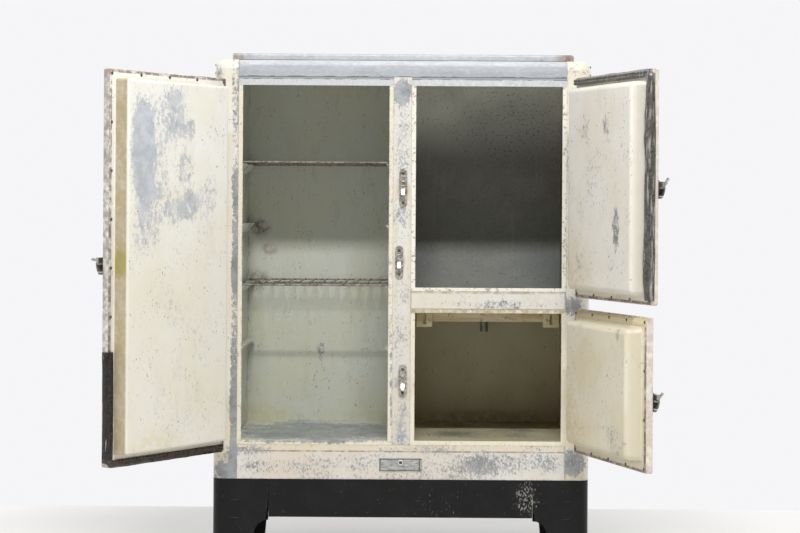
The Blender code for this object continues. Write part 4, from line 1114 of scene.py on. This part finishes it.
def hang(word, height):
    """One hinge of a door, with the screws of its strap. The two tall straps stop at the door's top."""
    side, top = SIDES[word], SPANS[word][1]
    node = f"{word}_{height}_hinge"
    leaf = refined(f"{node}_cabinet_leaf", CABINET, PAINTED_STRAP, "cabinet", 0.0005)
    door_leaf = refined(f"{node}_door_leaf", DOORS[word], PAINTED_STRAP, f"{word}_door", 0.0005)
    if height == "upper" and word != "lower":
        cut_above(leaf, top + 0.003)
        cut_above(door_leaf, top - 0.0005)
        shape = bmesh.new()
        box_shape(shape)
        bmesh.ops.scale(shape, vec=(0.0034, 0.036, STRAP_CREST - top - 0.003), verts=shape.verts)
        middle = (-side * (HALF_WIDTH - 0.0032), 0.030, (top + 0.003 + STRAP_CREST) / 2)
        bmesh.ops.translate(shape, vec=middle, verts=shape.verts)
        mesh = mesh_of("strap_end", shape)
        tongue = link(f"{word}_strap_end", mesh, CABINET, PAINTED_STRAP, "cabinet", ())
        softened(tongue, 0.0015, 3)
    low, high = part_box(f"{node}_cabinet_leaf")
    z = (low.z + high.z) / 2 + 0.018
    reach = HALF_WIDTH + (-0.0006 if height == "upper" else 0.0028)
    spots = [(-side * reach, y, z + dz) for y in (0.018, 0.040) for dz in (-0.010, 0.010)]
    outward = Matrix.Rotation(-side * pi / 2, 4, "Z")
    screws(f"{word}_{height}_strap_screws", spots, CABINET, SCREW, "cabinet", 0.0034, 0.0015, outward)


def latch(word):
    """The case, drawn in towards the door and tapering to its foot, and the lever with its thumb piece."""
    side, place = SIDES[word], DOORS[word]
    case = refined(f"{word}_door_latch_case", place, STEEL, f"{word}_door", 0.0006, segments=3)
    low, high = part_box(f"{word}_door_latch_lever")
    z = (low.z + high.z) / 2
    mouth = 0.0085
    for vertex in case.data.vertices:
        drop = z - vertex.co.z
        if drop < -mouth:
            vertex.co.z = z + mouth - 0.25 * (drop + mouth)
        fullness = max(0.2, 0.62 - 9.0 * max(0.0, drop - 0.008))
        vertex.co.y = PAN_FACE + (vertex.co.y - PAN_FACE) * fullness
    depth, rise = {"food": (-0.0225, 0.0015), "ice": (-0.0150, 0.0135), "lower": (-0.0150, 0.0090)}[word]
    path = [
        (side * 0.4060, -0.0095, z),
        (side * 0.4080, -0.0110, z + 0.1 * rise),
        (side * 0.4110, depth * 0.8, z + 0.6 * rise),
        (side * 0.4125, depth, z + rise),
    ]
    body = f"{word}_latch_lever"
    tube(f"{word}_lever_thumb", [path], 0.0034, place, NICKEL, body, (), 4)
    refined(f"{word}_door_latch_lever", place, NICKEL, body, 0.0016, segments=3)


for word in DOORS:
    for height in ("upper", "lower"):
        hang(word, height)
    latch(word)


def strike(word):
    """A long round-ended plate with a ring above and a sloping keeper below, held by two screws."""
    low, high = cabinet_box(f"{word}_door_strike")
    x, z = (low.x + high.x) / 2, (low.z + high.z) / 2
    half, width = {"food": 0.0400, "ice": 0.0460, "lower": 0.0390}[word], 0.0095
    middle = z + {"food": 0.0030, "ice": 0.0060, "lower": 0.0100}[word]
    outline = [(width * cos(pi * i / 16), half - width + width * sin(pi * i / 16)) for i in range(17)]
    outline += [(-a, -b) for a, b in outline]
    shape = bmesh.new()
    thickened(shape, [(x + a, -0.0003, middle + b) for a, b in outline], (0, -0.0018, 0))
    mesh = mesh_of("strike_plate", shape)
    made = link(f"{word}_strike_plate", mesh, CABINET, STRIKE, "cabinet", [f"{word}_door_strike"], 40)
    softened(made, 0.0005)
    shape = bmesh.new()
    front, deep = -0.0165, -0.0018
    section = [
        (deep, -0.0115), (front + 0.0010, -0.0115), (front, -0.0100), (front + 0.0012, -0.0060),
        (front + 0.0070, 0.0040), (deep, 0.0058),
    ]
    left, right = ([shape.verts.new((edge, y, z + h)) for y, h in section] for edge in (x - 0.0042, x + 0.0042))
    shape.faces.new(left)
    shape.faces.new(right)
    for i in range(len(section)):
        k = (i + 1) % len(section)
        shape.faces.new((left[i], left[k], right[k], right[i]))
    made = link(f"{word}_keeper", mesh_of("keeper", shape), CABINET, BRIGHT, "cabinet", (), 40)
    softened(made, 0.0012, 3)
    turns = [2 * pi * i / 20 for i in range(20)]
    ring = [(x + 0.0046 * cos(turn), -0.0034, z + 0.0170 + 0.0052 * sin(turn)) for turn in turns]
    tube(f"{word}_strike_ring", [ring], 0.0014, CABINET, NICKEL, "cabinet", (), 3, True)
    spots = [(x, -0.0021, middle + half - 0.0110), (x, -0.0021, middle - half + 0.0110)]
    screws(f"{word}_strike_screws", spots, CABINET, SCREW, "cabinet", 0.0036, 0.0016)


for word in DOORS:
    strike(word)

# ---------------------------------------------------------------- shelves

for name in ("upper_shelf", "lower_shelf"):
    low, high = cabinet_box(name)
    rod, wire = 0.0024, 0.0016
    rod_z, wire_z = low.z + rod, low.z + rod + rod * 0.7
    front, back = low.y + 0.003, high.y - 0.003
    rods = [[(low.x, y, rod_z), (high.x, y, rod_z)] for y in (front, (front + back) / 2, back)]
    made = tube(f"{name}_rods", rods, rod, CABINET, RUSTED, name, [name])
    wires = []
    for i in range(14):
        x = low.x + 0.006 + (high.x - low.x - 0.012) * i / 13
        wires.append([
            (x, low.y + 0.0004, wire_z - 0.0003), (x, low.y + 0.002, wire_z), (x, high.y - 0.002, wire_z),
            (x, high.y - 0.0004, wire_z - 0.0003),
        ])
    tube(f"{name}_wires", wires, wire, CABINET, RUSTED, name, (), 3)

# ---------------------------------------------------------------- the base's pressed dashes

shape = bmesh.new()
for side in (-1, 1):
    for z in (0.168, 0.125):
        spot = (side * (HALF_WIDTH - 0.0505), 0.0004, z)
        matrix = Matrix.Translation(spot) @ Matrix.Diagonal((0.0145, 0.0022, 0.0034, 1))
        join_shapes(shape, lambda s: bmesh.ops.create_uvsphere(s, u_segments=24, v_segments=12, radius=1), matrix)
link("leg_dashes", mesh_of("leg_dashes", shape), CABINET, BLACK, "cabinet", (), 60)
